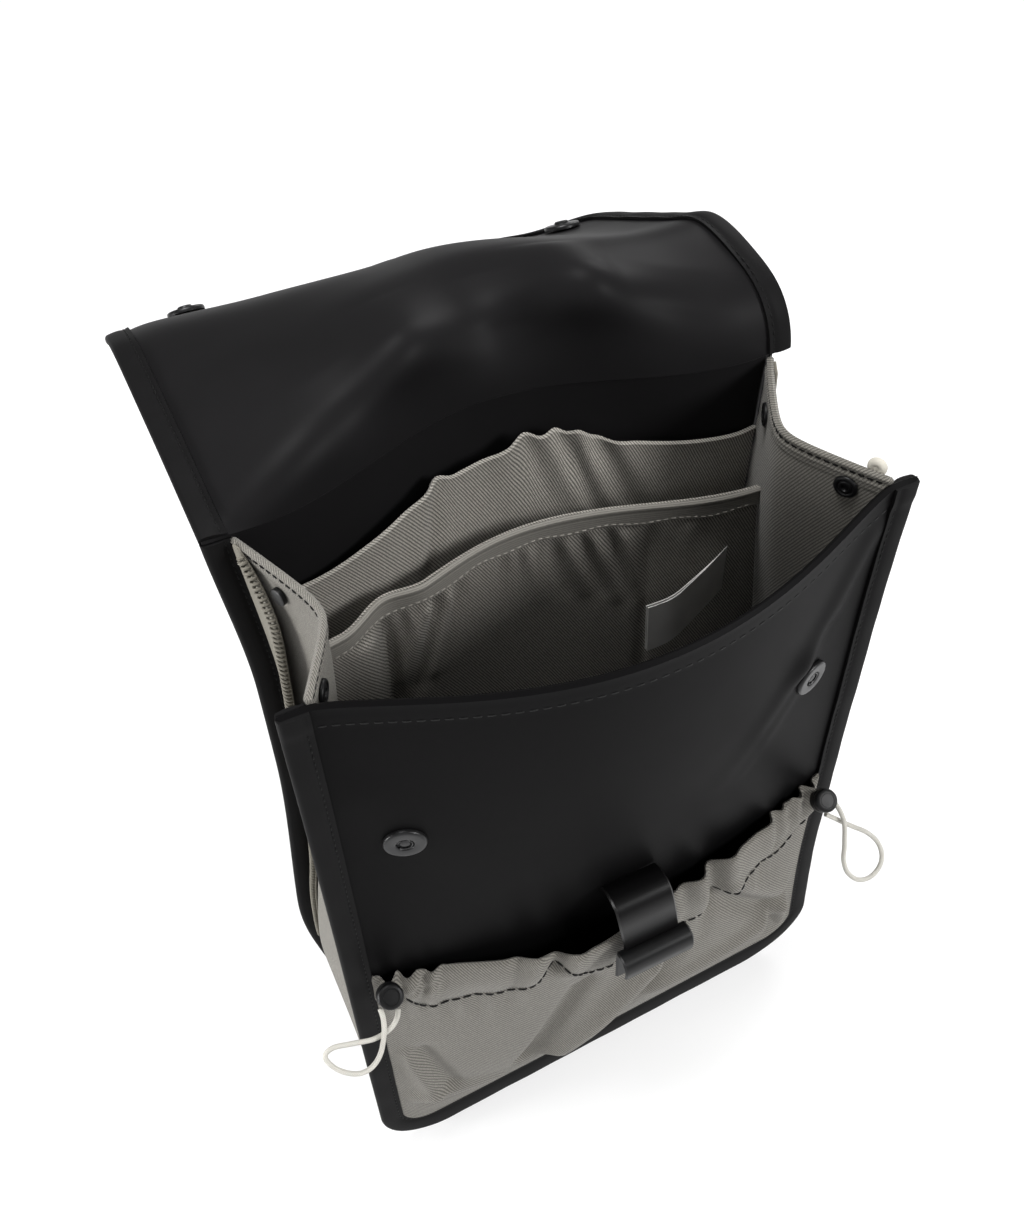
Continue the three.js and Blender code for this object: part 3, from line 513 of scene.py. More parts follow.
def tube_rings(line: Array, radius: Array | float, sides: int) -> Array:
    """Rings of a round tube along a line, with no twist.

    Args:
        line: The points of the line.
        radius: The tube's radius, or one for each point.
        sides: How many sides it has.

    Returns:
        The rings of points.
    """
    along = unit(np.gradient(line, axis=0))
    first = np.cross(along[0], [0.3, 0.2, 0.93])
    across = [first / np.linalg.norm(first)]
    for step in along[1:]:
        moved = across[-1] - step * (across[-1] @ step)
        across.append(moved / np.linalg.norm(moved))
    side = np.array(across)
    other = np.cross(along, side)
    turns = np.linspace(0, 2 * np.pi, sides, endpoint=False)
    wide = np.broadcast_to(radius, len(line))[:, None, None]
    around = np.cos(turns)[:, None] * side[:, None] + np.sin(turns)[:, None] * other[:, None]
    return line[:, None] + wide * around


@dataclass(frozen=True)
class Seam:
    """A row of stitches: their pitch and length along the seam, and the thread's thickness."""

    pitch: float
    length: float
    thread: float
    sunk: float = 0.12

    def sew(self, build: Build, cloth: Cloth, a: Array, b: Array, lift: float) -> None:
        """Adds the stitches along a line on a cloth.

        Args:
            build: The mesh that the stitches go into.
            cloth: The cloth that they hold.
            a: The line's places across the cut.
            b: Its places along the cut.
            lift: How far it lies off the middle of the cloth, below 0 on the side that doesn't show.
        """
        line, facing = cloth.at(a, b, lift), cloth.facing(a, b) * np.sign(lift)
        run = run_along(line)
        middles = np.arange(self.pitch / 2, run[-1] - self.pitch / 4, self.pitch)
        stations = np.array([-1.0, -0.8, -0.35, 0.35, 0.8, 1.0])
        thick = np.array([0.25, 0.8, 1.0, 1.0, 0.8, 0.25])
        places = np.clip(middles[:, None] + stations * self.length / 2, 0, run[-1])
        points, looks = at_run(line, run, places), unit(at_run(facing, run, places))
        along = unit(np.gradient(points, axis=1))
        aside = unit(np.cross(along, looks))
        dip = self.thread * (thick / 2 - 0.5) - self.sunk
        turns = np.linspace(0, 2 * np.pi, 6, endpoint=False)
        radius = self.thread / 2 * thick[None, :, None, None]
        rings = points[:, :, None] + looks[:, :, None] * (dip[None, :, None, None] + self.thread * 0.35)
        rings = rings + radius * np.cos(turns)[:, None] * aside[:, :, None] * 1.25
        rings = rings + radius * np.sin(turns)[:, None] * looks[:, :, None]
        for stitch in rings:
            build.rings(stitch)


# Shading


class Value:
    """A shader value whose arithmetic adds Math nodes."""

    def __init__(self, shade: "Shade", socket: bpy.types.NodeSocket) -> None:
        """Wraps an output socket of a shade's tree."""
        self.shade = shade
        self.socket = socket

    def math(self, operation: str, *others: "Value | float") -> "Value":
        """One Math node on this value and the others."""
        return self.shade.value("ShaderNodeMath", {"operation": operation}, dict(enumerate((self, *others))))

    def __add__(self, other: "Value | float") -> "Value":
        """This plus other."""
        return self.math("ADD", other)

    __radd__ = __add__

    def __sub__(self, other: "Value | float") -> "Value":
        """This minus other."""
        return self.math("SUBTRACT", other)

    def __rsub__(self, other: float) -> "Value":
        """Other minus this."""
        return self.shade.value("ShaderNodeMath", {"operation": "SUBTRACT"}, {0: other, 1: self})

    def __mul__(self, other: "Value | float") -> "Value":
        """This times other."""
        return self.math("MULTIPLY", other)

    __rmul__ = __mul__

    def __truediv__(self, other: "Value | float") -> "Value":
        """This divided by other."""
        return self.math("DIVIDE", other)

    def __lt__(self, other: "Value | float") -> "Value":
        """1 where this is less than other, or else 0."""
        return self.math("LESS_THAN", other)

    def ridge(self) -> "Value":
        """A row of round ridges, one to each unit."""
        return (self * float(np.pi)).math("SINE").math("ABSOLUTE")


class Shade:
    """The node tree of one material."""

    def __init__(self, name: str) -> None:
        """Starts an empty material of that name."""
        self.material = bpy.data.materials.new(name)
        self.material.use_nodes = True
        self.tree = self.material.node_tree
        self.tree.nodes.clear()

    def node(self, kind: str, settings: dict | None = None, sockets: dict | None = None) -> bpy.types.Node:
        """Adds a node.

        Args:
            kind: The node's type.
            settings: Its own settings, set first.
            sockets: Values or links of its sockets, by name or number.

        Returns:
            The node.
        """
        made = self.tree.nodes.new(kind)
        for key, value in (settings or {}).items():
            setattr(made, key, value)
        for key, value in (sockets or {}).items():
            if isinstance(value, Value):
                self.tree.links.new(value.socket, made.inputs[key])
            else:
                made.inputs[key].default_value = value
        return made

    def value(
        self, kind: str, settings: dict | None = None, sockets: dict | None = None, out: int | str = 0
    ) -> Value:
        """Adds a node and wraps one of its outputs."""
        return Value(self, self.node(kind, settings, sockets).outputs[out])

    def cut(self) -> tuple[Value, Value]:
        """The places across and along the cloth's cut, in millimetres."""
        place = self.value("ShaderNodeUVMap", {"uv_map": CLOTH_MAP})
        parts = self.node("ShaderNodeSeparateXYZ", None, {0: place})
        return Value(self, parts.outputs[0]), Value(self, parts.outputs[1])

    def noise(self, size: float, detail: float = 2.0, stretch: Colour = (1.0, 1.0, 1.0)) -> Value:
        """Soft noise in space.

        Args:
            size: The size of its patches in millimetres.
            detail: How many finer layers it has.
            stretch: How much denser it is along each axis.

        Returns:
            The noise, from 0 to 1.
        """
        place = self.value("ShaderNodeTexCoord", None, None, "Object")
        scaled = self.value("ShaderNodeVectorMath", {"operation": "MULTIPLY"}, {0: place, 1: stretch})
        sockets = {"Vector": scaled, "Scale": 1 / (size * MM), "Detail": detail}
        return self.value("ShaderNodeTexNoise", None, sockets)

    def blend(self, share: Value, low: "Colour | Value", high: "Colour | Value") -> Value:
        """A colour between two others."""
        ends = [end if isinstance(end, Value) else (*end, 1.0) for end in (low, high)]
        return self.value("ShaderNodeMix", {"data_type": "RGBA"}, {0: share, 6: ends[0], 7: ends[1]}, 2)

    def bump(self, height: Value, depth: float) -> Value:
        """A relief for the Normal socket; depth is in millimetres."""
        return self.value("ShaderNodeBump", None, {"Height": height, "Distance": depth * MM, "Strength": 1.0})

    def close(self, sockets: dict) -> bpy.types.Material:
        """Ends the tree in a Principled shader.

        Args:
            sockets: The shader's values and links.

        Returns:
            The material.
        """
        shader = self.value("ShaderNodeBsdfPrincipled", None, sockets)
        self.node("ShaderNodeOutputMaterial", None, {"Surface": shader})
        return self.material


Look = tuple[Value, ...]


@dataclass(frozen=True)
class Finish:
    """A finish: its slot in the record, its two colours, its gloss and the depth of its relief.

    Its material has the slot's name where the finish has none of its own.
    """

    slot: str
    low: Colour
    high: Colour
    gloss: float
    depth: float
    name: str = ""
    sheen: Pair = (0.0, 0.5)

    def paint(self, shade: Shade) -> Look:
        """Lays out what varies over a piece.

        Args:
            shade: The tree that it goes into.

        Returns:
            The colour, the roughness and the relief, and the share of metal where there is any.
        """
        raise NotImplementedError

    def material(self) -> bpy.types.Material:
        """Makes the material."""
        shade = Shade(self.name or self.slot)
        colour, rough, height, *metal = self.paint(shade)
        return shade.close({
            "Base Color": colour,
            "Metallic": metal[0] if metal else 0.0,
            "Roughness": rough,
            "Specular IOR Level": self.gloss,
            "Sheen Weight": self.sheen[0],
            "Sheen Roughness": self.sheen[1],
            "Normal": shade.bump(height, self.depth),
        })


@dataclass(frozen=True)
class CoatedFabric(Finish):
    """Matte black fabric with a rubbery coat: a fine grain and a soft, uneven sheen."""

    rough: Pair = (0.42, 0.52)
    grain: float = 0.45

    def paint(self, shade: Shade) -> Look:
        """The colour, the roughness and the relief."""
        cloud = shade.noise(46.0, 3.0)
        grain = shade.noise(self.grain, 1.0)
        fleck = (shade.noise(2.2, 1.0) - 0.72) * 9.0
        rough = cloud * (self.rough[1] - self.rough[0]) + self.rough[0] + grain * 0.04
        height = grain + fleck.math("MAXIMUM", 0.0) * 0.6
        return shade.blend(cloud, self.low, self.high), rough, height


@dataclass(frozen=True)
class BindingTape(Finish):
    """Black tape folded over an edge: a soft coat over fine cross ribs."""

    rib: float = 0.9

    def paint(self, shade: Shade) -> Look:
        """The colour, the roughness and the relief."""
        along, _ = shade.cut()
        cloud = shade.noise(18.0, 3.0)
        height = (along / self.rib).ridge() * 0.35 + shade.noise(0.5, 1.0)
        return shade.blend(cloud, self.low, self.high), cloud * 0.12 + 0.5, height


@dataclass(frozen=True)
class TwillCloth(Finish):
    """Grey twill: paired light and dark yarns, each going over two and under two."""

    # The painted shade between the yarns.
    groove_shade: Colour = (0.024, 0.022, 0.019)
    yarn: float = 0.34
    pick: float = 0.6

    def paint(self, shade: Shade) -> Look:
        """The colour, the roughness and the relief."""
        across, along = shade.cut()
        drift = shade.noise(9.0, 2.0)
        warp = (across + drift * 0.3) / self.yarn
        weft = (along + drift * 0.3) / self.pick
        column, row = warp.math("FLOOR"), weft.math("FLOOR")
        over = (column + row).math("FLOORED_MODULO", 4.0) < 2.0
        cell = shade.value("ShaderNodeCombineXYZ", None, {0: column, 1: row})
        uneven = shade.value("ShaderNodeTexWhiteNoise", {"noise_dimensions": "2D"}, {"Vector": cell})
        height = over * (warp.ridge() * 0.8 + 0.2) + (1 - over) * weft.ridge() * 0.85
        slub = shade.noise(1.3, 2.0)
        colour = shade.blend(over, self.low, self.high)
        # Painted shade: the colour darkens towards the groove colour where the relief is low, between the
        # yarns.
        deep = shade.blend(height * 0.55 + uneven * 0.35 + 0.2, self.groove_shade, colour)
        return shade.blend(slub * 0.25, deep, self.high), slub * 0.1 + 0.82, height + slub * 0.25


@dataclass(frozen=True)
class RibbedElastic(Finish):
    """Pale elastic with ribs along it and fine cross threads."""

    rib: float = 1.15

    def paint(self, shade: Shade) -> Look:
        """The colour, the roughness and the relief."""
        across, along = shade.cut()
        fuzz = shade.noise(0.9, 2.0)
        height = (along / self.rib).ridge() * 0.75 + (across / 0.55).ridge() * 0.35
        # Painted shade: lighter on the ribs' crests and darker in the hollows between them, following the
        # relief; the fuzz is random tone.
        colour = shade.blend(height * 0.7 + fuzz * 0.35, self.low, self.high)
        return colour, fuzz * 0.1 + 0.76, height + fuzz * 0.3


@dataclass(frozen=True)
class ZipCloth(Finish):
    """Pale zip tape: a close plain weave."""

    def paint(self, shade: Shade) -> Look:
        """The colour, the roughness and the relief."""
        across, along = shade.cut()
        weave = (across / 0.5).ridge() * (along / 0.5).ridge()
        soil = shade.noise(14.0, 3.0)
        # Painted shade: the raised threads of the weave are lighter and the dips between them darker; the
        # soil is random tone.
        return shade.blend(weave * 0.6 + soil * 0.45, self.low, self.high), soil * 0.1 + 0.72, weave


@dataclass(frozen=True)
class SnapMetal(Finish):
    """Black lacquer on brass press studs, with brighter rims where it has rubbed."""

    def paint(self, shade: Shade) -> Look:
        """The colour, the roughness, the relief and the share of metal."""
        scuff = shade.noise(1.1, 4.0)
        worn = ((scuff - 0.55) * 4.0).math("MAXIMUM", 0.0).math("MINIMUM", 1.0)
        rough = shade.noise(7.0, 2.0) * 0.14 + 0.3
        return shade.blend(worn * 0.55, self.low, self.high), rough, scuff, worn * 0.3 + 0.45


@dataclass(frozen=True)
class MouldedPlastic(Finish):
    """Moulded black plastic with a faint orange-peel skin."""

    def paint(self, shade: Shade) -> Look:
        """The colour, the roughness and the relief."""
        dust = shade.noise(5.0, 4.0)
        return shade.blend(dust, self.low, self.high), dust * 0.14 + 0.34, shade.noise(0.7, 2.0)


@dataclass(frozen=True)
class CordBraid(Finish):
    """Off-white braided cover of an elastic cord."""

    strand: float = 1.1
    turn: float = 1.26

    def paint(self, shade: Shade) -> Look:
        """The colour, the roughness and the relief."""
        around, along = shade.cut()
        one = (along / self.strand + around / self.turn).ridge()
        other = (along / self.strand - around / self.turn).ridge()
        braid = one.math("MAXIMUM", other)
        soil = shade.noise(6.0, 3.0)
        # Painted shade: the braid's strands are lighter on top and darker in the grooves between them; the
        # soil is random tone.
        return shade.blend(braid * 0.7 + soil * 0.4, self.low, self.high), soil * 0.1 + 0.66, braid


@dataclass(frozen=True)
class LabelSatin(Finish):
    """A blank white satin label, a little grey where it has been handled."""

    def paint(self, shade: Shade) -> Look:
        """The colour, the roughness and the relief."""
        across, along = shade.cut()
        satin = (across / 0.35).ridge() * 0.6 + (along / 0.9).ridge() * 0.4
        soil = shade.noise(12.0, 3.0)
        # Painted shade: a little darker in the dips between the satin's ridges; the soil is random grey tone.
        return shade.blend(soil * 0.8 + satin * 0.2, self.low, self.high), soil * 0.15 + 0.45, satin


@dataclass(frozen=True)
class StrapWebbing(Finish):
    """Black flat webbing with a herringbone of ribs."""

    def paint(self, shade: Shade) -> Look:
        """The colour, the roughness and the relief."""
        across, along = shade.cut()
        ribs = ((along + across.math("PINGPONG", 5.5)) / 1.6).ridge()
        height = ribs * 0.8 + (across / 1.1).ridge() * 0.3
        # Painted shade: the colour follows the relief, lighter on the ribs and darker in the grooves between
        # them.
        return shade.blend(height, self.low, self.high), height * 0.1 + 0.62, height


@dataclass(frozen=True)
class SewingThread(Finish):
    """Twisted sewing thread in the slot of the cloth that it holds."""

    def paint(self, shade: Shade) -> Look:
        """The colour, the roughness and the relief."""
        ply = shade.noise(0.5, 2.0, (1.0, 1.0, 2.2))
        # Painted shade: the ply noise sets both the colour and the relief, so the raised strands are lighter
        # and the dips between them darker.
        return shade.blend(ply, self.low, self.high), ply * 0.2 + 0.5, ply


COATED = CoatedFabric("coated_fabric", (0.0031, 0.0030, 0.0031), (0.0047, 0.0045, 0.0048), 0.022, 0.022)
# Painted light: a lighter copy of the same coated fabric, for the back panel, the lid and the shoulder pads,
# standing in for the light that falls on them.
COATED_PAINTED_LIGHTER = replace(
    COATED, name="coated_painted_lighter", low=(0.0066, 0.0064, 0.0066), high=(0.0096, 0.0092, 0.0098), gloss=0.045
)
SATIN = replace(COATED, name="coated_strap", gloss=0.16, rough=(0.26, 0.34))
BINDING = BindingTape("binding_tape", (0.0053, 0.0052, 0.0053), (0.0084, 0.0081, 0.0085), 0.035, 0.03)
TWILL = TwillCloth(
    "woven_cloth", (0.078, 0.074, 0.064), (0.262, 0.248, 0.219), 0.28, 0.1, sheen=(0.12, 0.5)
)
# Painted light: a lighter copy of the same twill for the sleeve and the organiser, standing in for the light
# inside the bag.
TWILL_PAINTED_LIGHTER = replace(
    TWILL, name="woven_cloth_painted_lighter", low=(0.055, 0.052, 0.045), high=(0.43, 0.408, 0.365)
)
ELASTIC = RibbedElastic("elastic_trim", (0.105, 0.100, 0.088), (0.225, 0.214, 0.192), 0.3, 0.14)
BEAD = replace(ELASTIC, name="elastic_bead", low=(0.42, 0.4, 0.35), high=(0.62, 0.59, 0.52))
ZIP = ZipCloth("zip_tape", (0.125, 0.116, 0.095), (0.22, 0.207, 0.175), 0.3, 0.1)
METAL = SnapMetal("snap_metal", (0.0095, 0.0095, 0.0101), (0.038, 0.0372, 0.038), 0.5, 0.012)
PLASTIC = MouldedPlastic("black_plastic", (0.0040, 0.0040, 0.0042), (0.0074, 0.0074, 0.0077), 0.19, 0.03)
CORD = CordBraid("elastic_cord", (0.27, 0.26, 0.23), (0.54, 0.525, 0.48), 0.35, 0.1)
LABEL = LabelSatin("label_cloth", (0.46, 0.455, 0.44), (0.63, 0.62, 0.60), 0.4, 0.03)
WEBBING = StrapWebbing("strap_webbing", (0.0030, 0.0030, 0.0032), (0.0070, 0.0070, 0.0072), 0.35, 0.25)
BLACK_THREAD = SewingThread("binding_tape", (0.0015,) * 3, (0.004,) * 3, 0.12, 0.08, "thread_binding_tape")
HEM_THREAD = replace(
    BLACK_THREAD, slot="coated_fabric", name="thread_coated_fabric", low=(0.006,) * 3, high=(0.021,) * 3
)
DARK_THREAD = replace(
    BLACK_THREAD, slot="woven_cloth", name="thread_woven_cloth", low=(0.003,) * 3, high=(0.01, 0.0095, 0.009)
)
PALE_THREAD = replace(
    BLACK_THREAD, slot="elastic_trim", name="thread_elastic_trim",
    low=(0.24, 0.225, 0.2), high=(0.42, 0.4, 0.36),
)


@lru_cache(maxsize=None)
def material_of(finish: Finish) -> bpy.types.Material:
    """The one material of a finish."""
    return finish.material()


def publish(build: Build, name: str, finish: Finish, *nodes: str) -> bpy.types.Object:
    """Makes a piece, gives it its finish and fixes it to the bag.

    Args:
        build: The piece's mesh.
        name: The piece's name.
        finish: Its finish.
        nodes: The solids that it stands for.

    Returns:
        The piece.
    """
    piece = build.made(name)
    piece.data.materials.append(material_of(finish))
    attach(piece, BODY)
    if nodes:
        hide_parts(*nodes)
    LOG.info("%s: %d faces", name, len(piece.data.polygons))
    return piece


# Edges that a tape is folded over


@dataclass(frozen=True)
class EdgeRun:
    """Places along a bound edge of a cut, with the direction out of the cut at each."""

    a: Array
    b: Array
    out_a: Array
    out_b: Array

    @staticmethod
    def round_base(half: float, radius: float, top: float, step: float) -> "EdgeRun":
        """The edge of a panel that is open at the top and has two rounded corners below.

        Args:
            half: Half the panel's width.
            radius: The corners' radius.
            top: The panel's height.
            step: The distance between places.

        Returns:
            The edge from the left top round to the right top.
        """
        sides = np.linspace(top, radius, int((top - radius) / step))
        turns = np.linspace(0, np.pi / 2, int(radius * np.pi / 2 / step) + 2)[1:-1]
        floor = np.linspace(-(half - radius), half - radius, int(2 * (half - radius) / step))
        corner_a = half - radius + radius * np.cos(turns)
        corner_b = radius - radius * np.sin(turns)
        one, none = np.ones_like(sides), np.zeros_like(sides)
        return EdgeRun(
            np.concatenate([-half * one, -corner_a, floor, corner_a[::-1], half * one]),
            np.concatenate([sides, corner_b, 0 * floor, corner_b[::-1], sides[::-1]]),
            np.concatenate([-one, -np.cos(turns), 0 * floor, np.cos(turns)[::-1], one]),
            np.concatenate([none, -np.sin(turns), 0 * floor - 1, -np.sin(turns)[::-1], none]),
        )

    def inside(self, inset: Array | float) -> tuple[Array, Array]:
        """The same places, moved into the cut."""
        return self.a - self.out_a * inset, self.b - self.out_b * inset


@dataclass(frozen=True)
class FoldedTape:
    """Tape folded over an edge: its width on each face, and the swell between fold and stitches."""

    width: float
    room: float
    swell: float = 0.35
    pinch: float = 0.3
    stitch_inset: float = 9.6
    end_turn: float = 9.0
    end_thick: float = 0.7
    wave: float = 0.25
    base_extra: float = 0.0
    station: float = 2.4
    stitch: Seam = Seam(3.9, 2.9, 0.55)

    def outside(self) -> float:
        """How far its outer face lies from the middle of the cloth."""
        return self.room + BAG.tape

    def section(self) -> Array:
        """The closed section, as rows of inset and lift, once round the tape."""
        reach = self.outside()
        faces = np.linspace(self.width, reach, 12)
        bulge = self.swell * np.sin(np.pi * np.clip((faces - reach) / (self.stitch_inset - reach), 0, 1))
        bulge = bulge - self.pinch * bell(faces - self.stitch_inset, 1.1)
        turns = np.linspace(np.pi / 2, -np.pi / 2, 9)[1:-1]
        over = stack(faces, reach + bulge)
        bend = stack(reach - reach * np.cos(turns), reach * np.sin(turns))
        under = over[::-1] * [1, -1]
        inner = np.array([
            [self.width, -self.room],
            [reach, -self.room],
            [BAG.tape + 0.2, 0],
            [reach, self.room],
            [self.width, self.room],
        ])
        return np.concatenate([over, bend, under, inner])

    def fold(self, cloth: Cloth, edge: EdgeRun) -> Build:
        """The tape over an edge of a cloth, its two ends turned under.

        Args:
            cloth: The cloth that it binds.
            edge: The bound edge.

        Returns:
            The tape's mesh.
        """
        section = self.section()
        length = run_along(stack(edge.a, edge.b))
        from_end = np.minimum(length, length[-1] - length)
        turned = self.end_thick * (1 - smooth((from_end - self.end_turn) / 1.5))
        ripple = self.wave * np.sin(length / 17.0) * np.sin(length / 6.1 + 1.0)
        lift = section[:, 1]
        wide = smooth(section[:, 0] / self.width) * (lift > 0) * self.base_extra
        inset = section[:, 0] + np.maximum(0, -edge.out_b)[:, None] ** 2 * wide
        raised = lift + np.sign(lift) * (np.abs(lift) > self.room + 0.1) * (turned + ripple * 0.5)[:, None]
        a = edge.a[:, None] - edge.out_a[:, None] * inset
        b = edge.b[:, None] - edge.out_b[:, None] * inset
        return Build().rings(cloth.at(a, b, raised), stack(length[:, None], run_along(section)))

    def sewn(self, cloth: Cloth, edge: EdgeRun) -> Build:
        """The tape's stitches on both faces.

        Args:
            cloth: The cloth that it binds.
            edge: The bound edge.

        Returns:
            The stitches' mesh.
        """
        stitches = Build()
        for face in (1, -1):
            extra = self.base_extra * (face > 0) * np.maximum(0, -edge.out_b) ** 2
            a, b = edge.inside(self.stitch_inset + extra)
            self.stitch.sew(stitches, cloth, a, b, face * (self.outside() - self.pinch))
        return stitches


def rounded_grid(half: float, radius: float, top: float, columns: int, step: float) -> tuple[Array, Array]:
    """A grid of places on a panel with two rounded corners below.

    Args:
        half: Half the panel's width.
        radius: The corners' radius.
        top: The panel's height.
        columns: How many columns the grid has.
        step: The distance between its rows.

    Returns:
        The places across and along, as grids.
    """
    turns = np.linspace(0, np.pi / 2, 12)[:-1]
    b = np.concatenate([radius - radius * np.cos(turns), np.arange(radius, top - step / 2, step), [top]])
    drop = np.maximum(0, radius - b)
    half_at = half - radius + np.sqrt(np.maximum(0, radius**2 - drop**2))
    shares = np.linspace(-1, 1, columns)
    return half_at[:, None] * shares, np.broadcast_to(b[:, None], (len(b), columns))


def publish_cloth(
    build: Build, node: str, word: str, finish: Finish, flat: Pair,
    area: float = 1.0,
) -> None:
    """Args:
        build: The piece's mesh.
        node: The solid that it stands for.
        word: What it is, the last word of its name.
        finish: Its finish.
        flat: The cut's width and length in millimetres; not used.
        area: The share of that rectangle that the cut fills; not used.
    """
    piece = publish(build, f"{node}_{word}", finish, node)
    size = tuple(side * MM for side in flat)
    size[0] * size[1] * area


def bind(
    node: str, cloth: Cloth, tape: FoldedTape, height: float, corner: float, start: float = 0.0
) -> None:
    """Builds the tape folded over the edge of a panel, and its stitches.

    Args:
        node: The tape's solid.
        cloth: The panel's cloth.
        tape: The tape's sizes.
        height: The panel's height.
        corner: The radius of its corners.
        start: How far below the panel's top the tape starts.
    """
    edge = EdgeRun.round_base(BAG.width / 2, corner, height - start, tape.station)
    cut = (2 * tape.width + 2 * tape.outside(), 2 * height + BAG.width - (4 - np.pi) * corner)
    publish_cloth(tape.fold(cloth, edge), node, "tape", BINDING, cut)
    publish(tape.sewn(cloth, edge), f"{node}_stitches", BLACK_THREAD)


# Sub-assemblies


@dataclass
class Panels:
    """The coated front and back walls with the tape that binds them."""

    hem: float = 12.5
    hem_thick: float = 0.7
    hem_seam: float = 10.6
    hem_dip: float = 0.35
    hem_roll: float = 1.3
    hem_stitch: Seam = Seam(5.0, 3.5, 0.62)
    base_extra: float = 9.5
    columns: int = 101
    row: float = 2.9
    front_folds: tuple[Fold, ...] = folds_of((
        (114, 368, 86, 314, 2.0, 9.0), (86, 314, 50, 262, 2.0, 9.0, 0.2),
        (84, 294, 62, 256, 1.3, 5.5, 0.3), (100, 328, 74, 284, -1.2, 6.5, 0.5),
        (-20, 250, 80, 215, 0.9, 22.0, 0.6), (-110, 330, -60, 255, 0.7, 16.0, 0.4),
    ))
    back_folds: tuple[Fold, ...] = folds_of((
        (-60, 330, 20, 240, 1.0, 24.0), (70, 200, -20, 130, 0.9, 26.0),
    ))

    def dip(self, x: Array, z: Array) -> Array:
        """The dip of the front wall at the stitches of its hem."""
        return -self.hem_dip * bell(z - (BAG.front_height - self.hem_seam), 1.0)

    def wall(self, node: str, cloth: Cloth, height: float, hem_thick: float, finish: Finish) -> None:
        """Builds one wall.

        Args:
            node: The solid's name.
            cloth: The wall's cloth.
            height: Its height.
            hem_thick: How much thicker the hem along its top is, or 0 where the cloth runs on.
            finish: Its finish.
        """
        half = BAG.width / 2 - BAG.inset
        x, b = rounded_grid(half, BAG.corner - BAG.inset, height - BAG.inset, self.columns, self.row)
        z = b + BAG.inset
        below = height - z
        hem = 1 - smooth((below - self.hem + 1.0) / 1.5)
        thick = BAG.coated + hem_thick * (hem + self.hem_roll * bell(below, 2.2))
        build = Build().sheet(cloth, x, z, thick)
        cut = (BAG.width, height)
        publish_cloth(build, node, "cloth", finish, cut, BAG.cut_share)

    def build(self) -> None:
        """Builds both walls, their tapes and the stitches of the front hem."""
        front = Cloth(BAG.front, 1, self.front_folds, self.dip)
        self.wall("front_panel", front, BAG.front_height, self.hem_thick, COATED)
        self.wall("back_panel", Cloth(BAG.back, -1, self.back_folds), BAG.back_height, 0.0, COATED_PAINTED_LIGHTER)
        room = BAG.coated / 2 + BAG.gap
        tape = FoldedTape(BAG.flange, room, base_extra=self.base_extra)
        bind("front_binding", Cloth(BAG.front), tape, BAG.front_height, BAG.corner)
        tape = FoldedTape(BAG.flange, room, end_thick=0.0)
        bind("back_binding", Cloth(BAG.back, -1), tape, BAG.back_height, BAG.corner)
        x = np.linspace(-BAG.bow_inner + 1, BAG.bow_inner - 1, 160)
        z = np.full_like(x, BAG.front_height - self.hem_seam)
        stitches = Build()
        self.hem_stitch.sew(stitches, front, x, z, (BAG.coated + self.hem_thick) / 2)
        publish(stitches, "front_hem_stitches", HEM_THREAD)


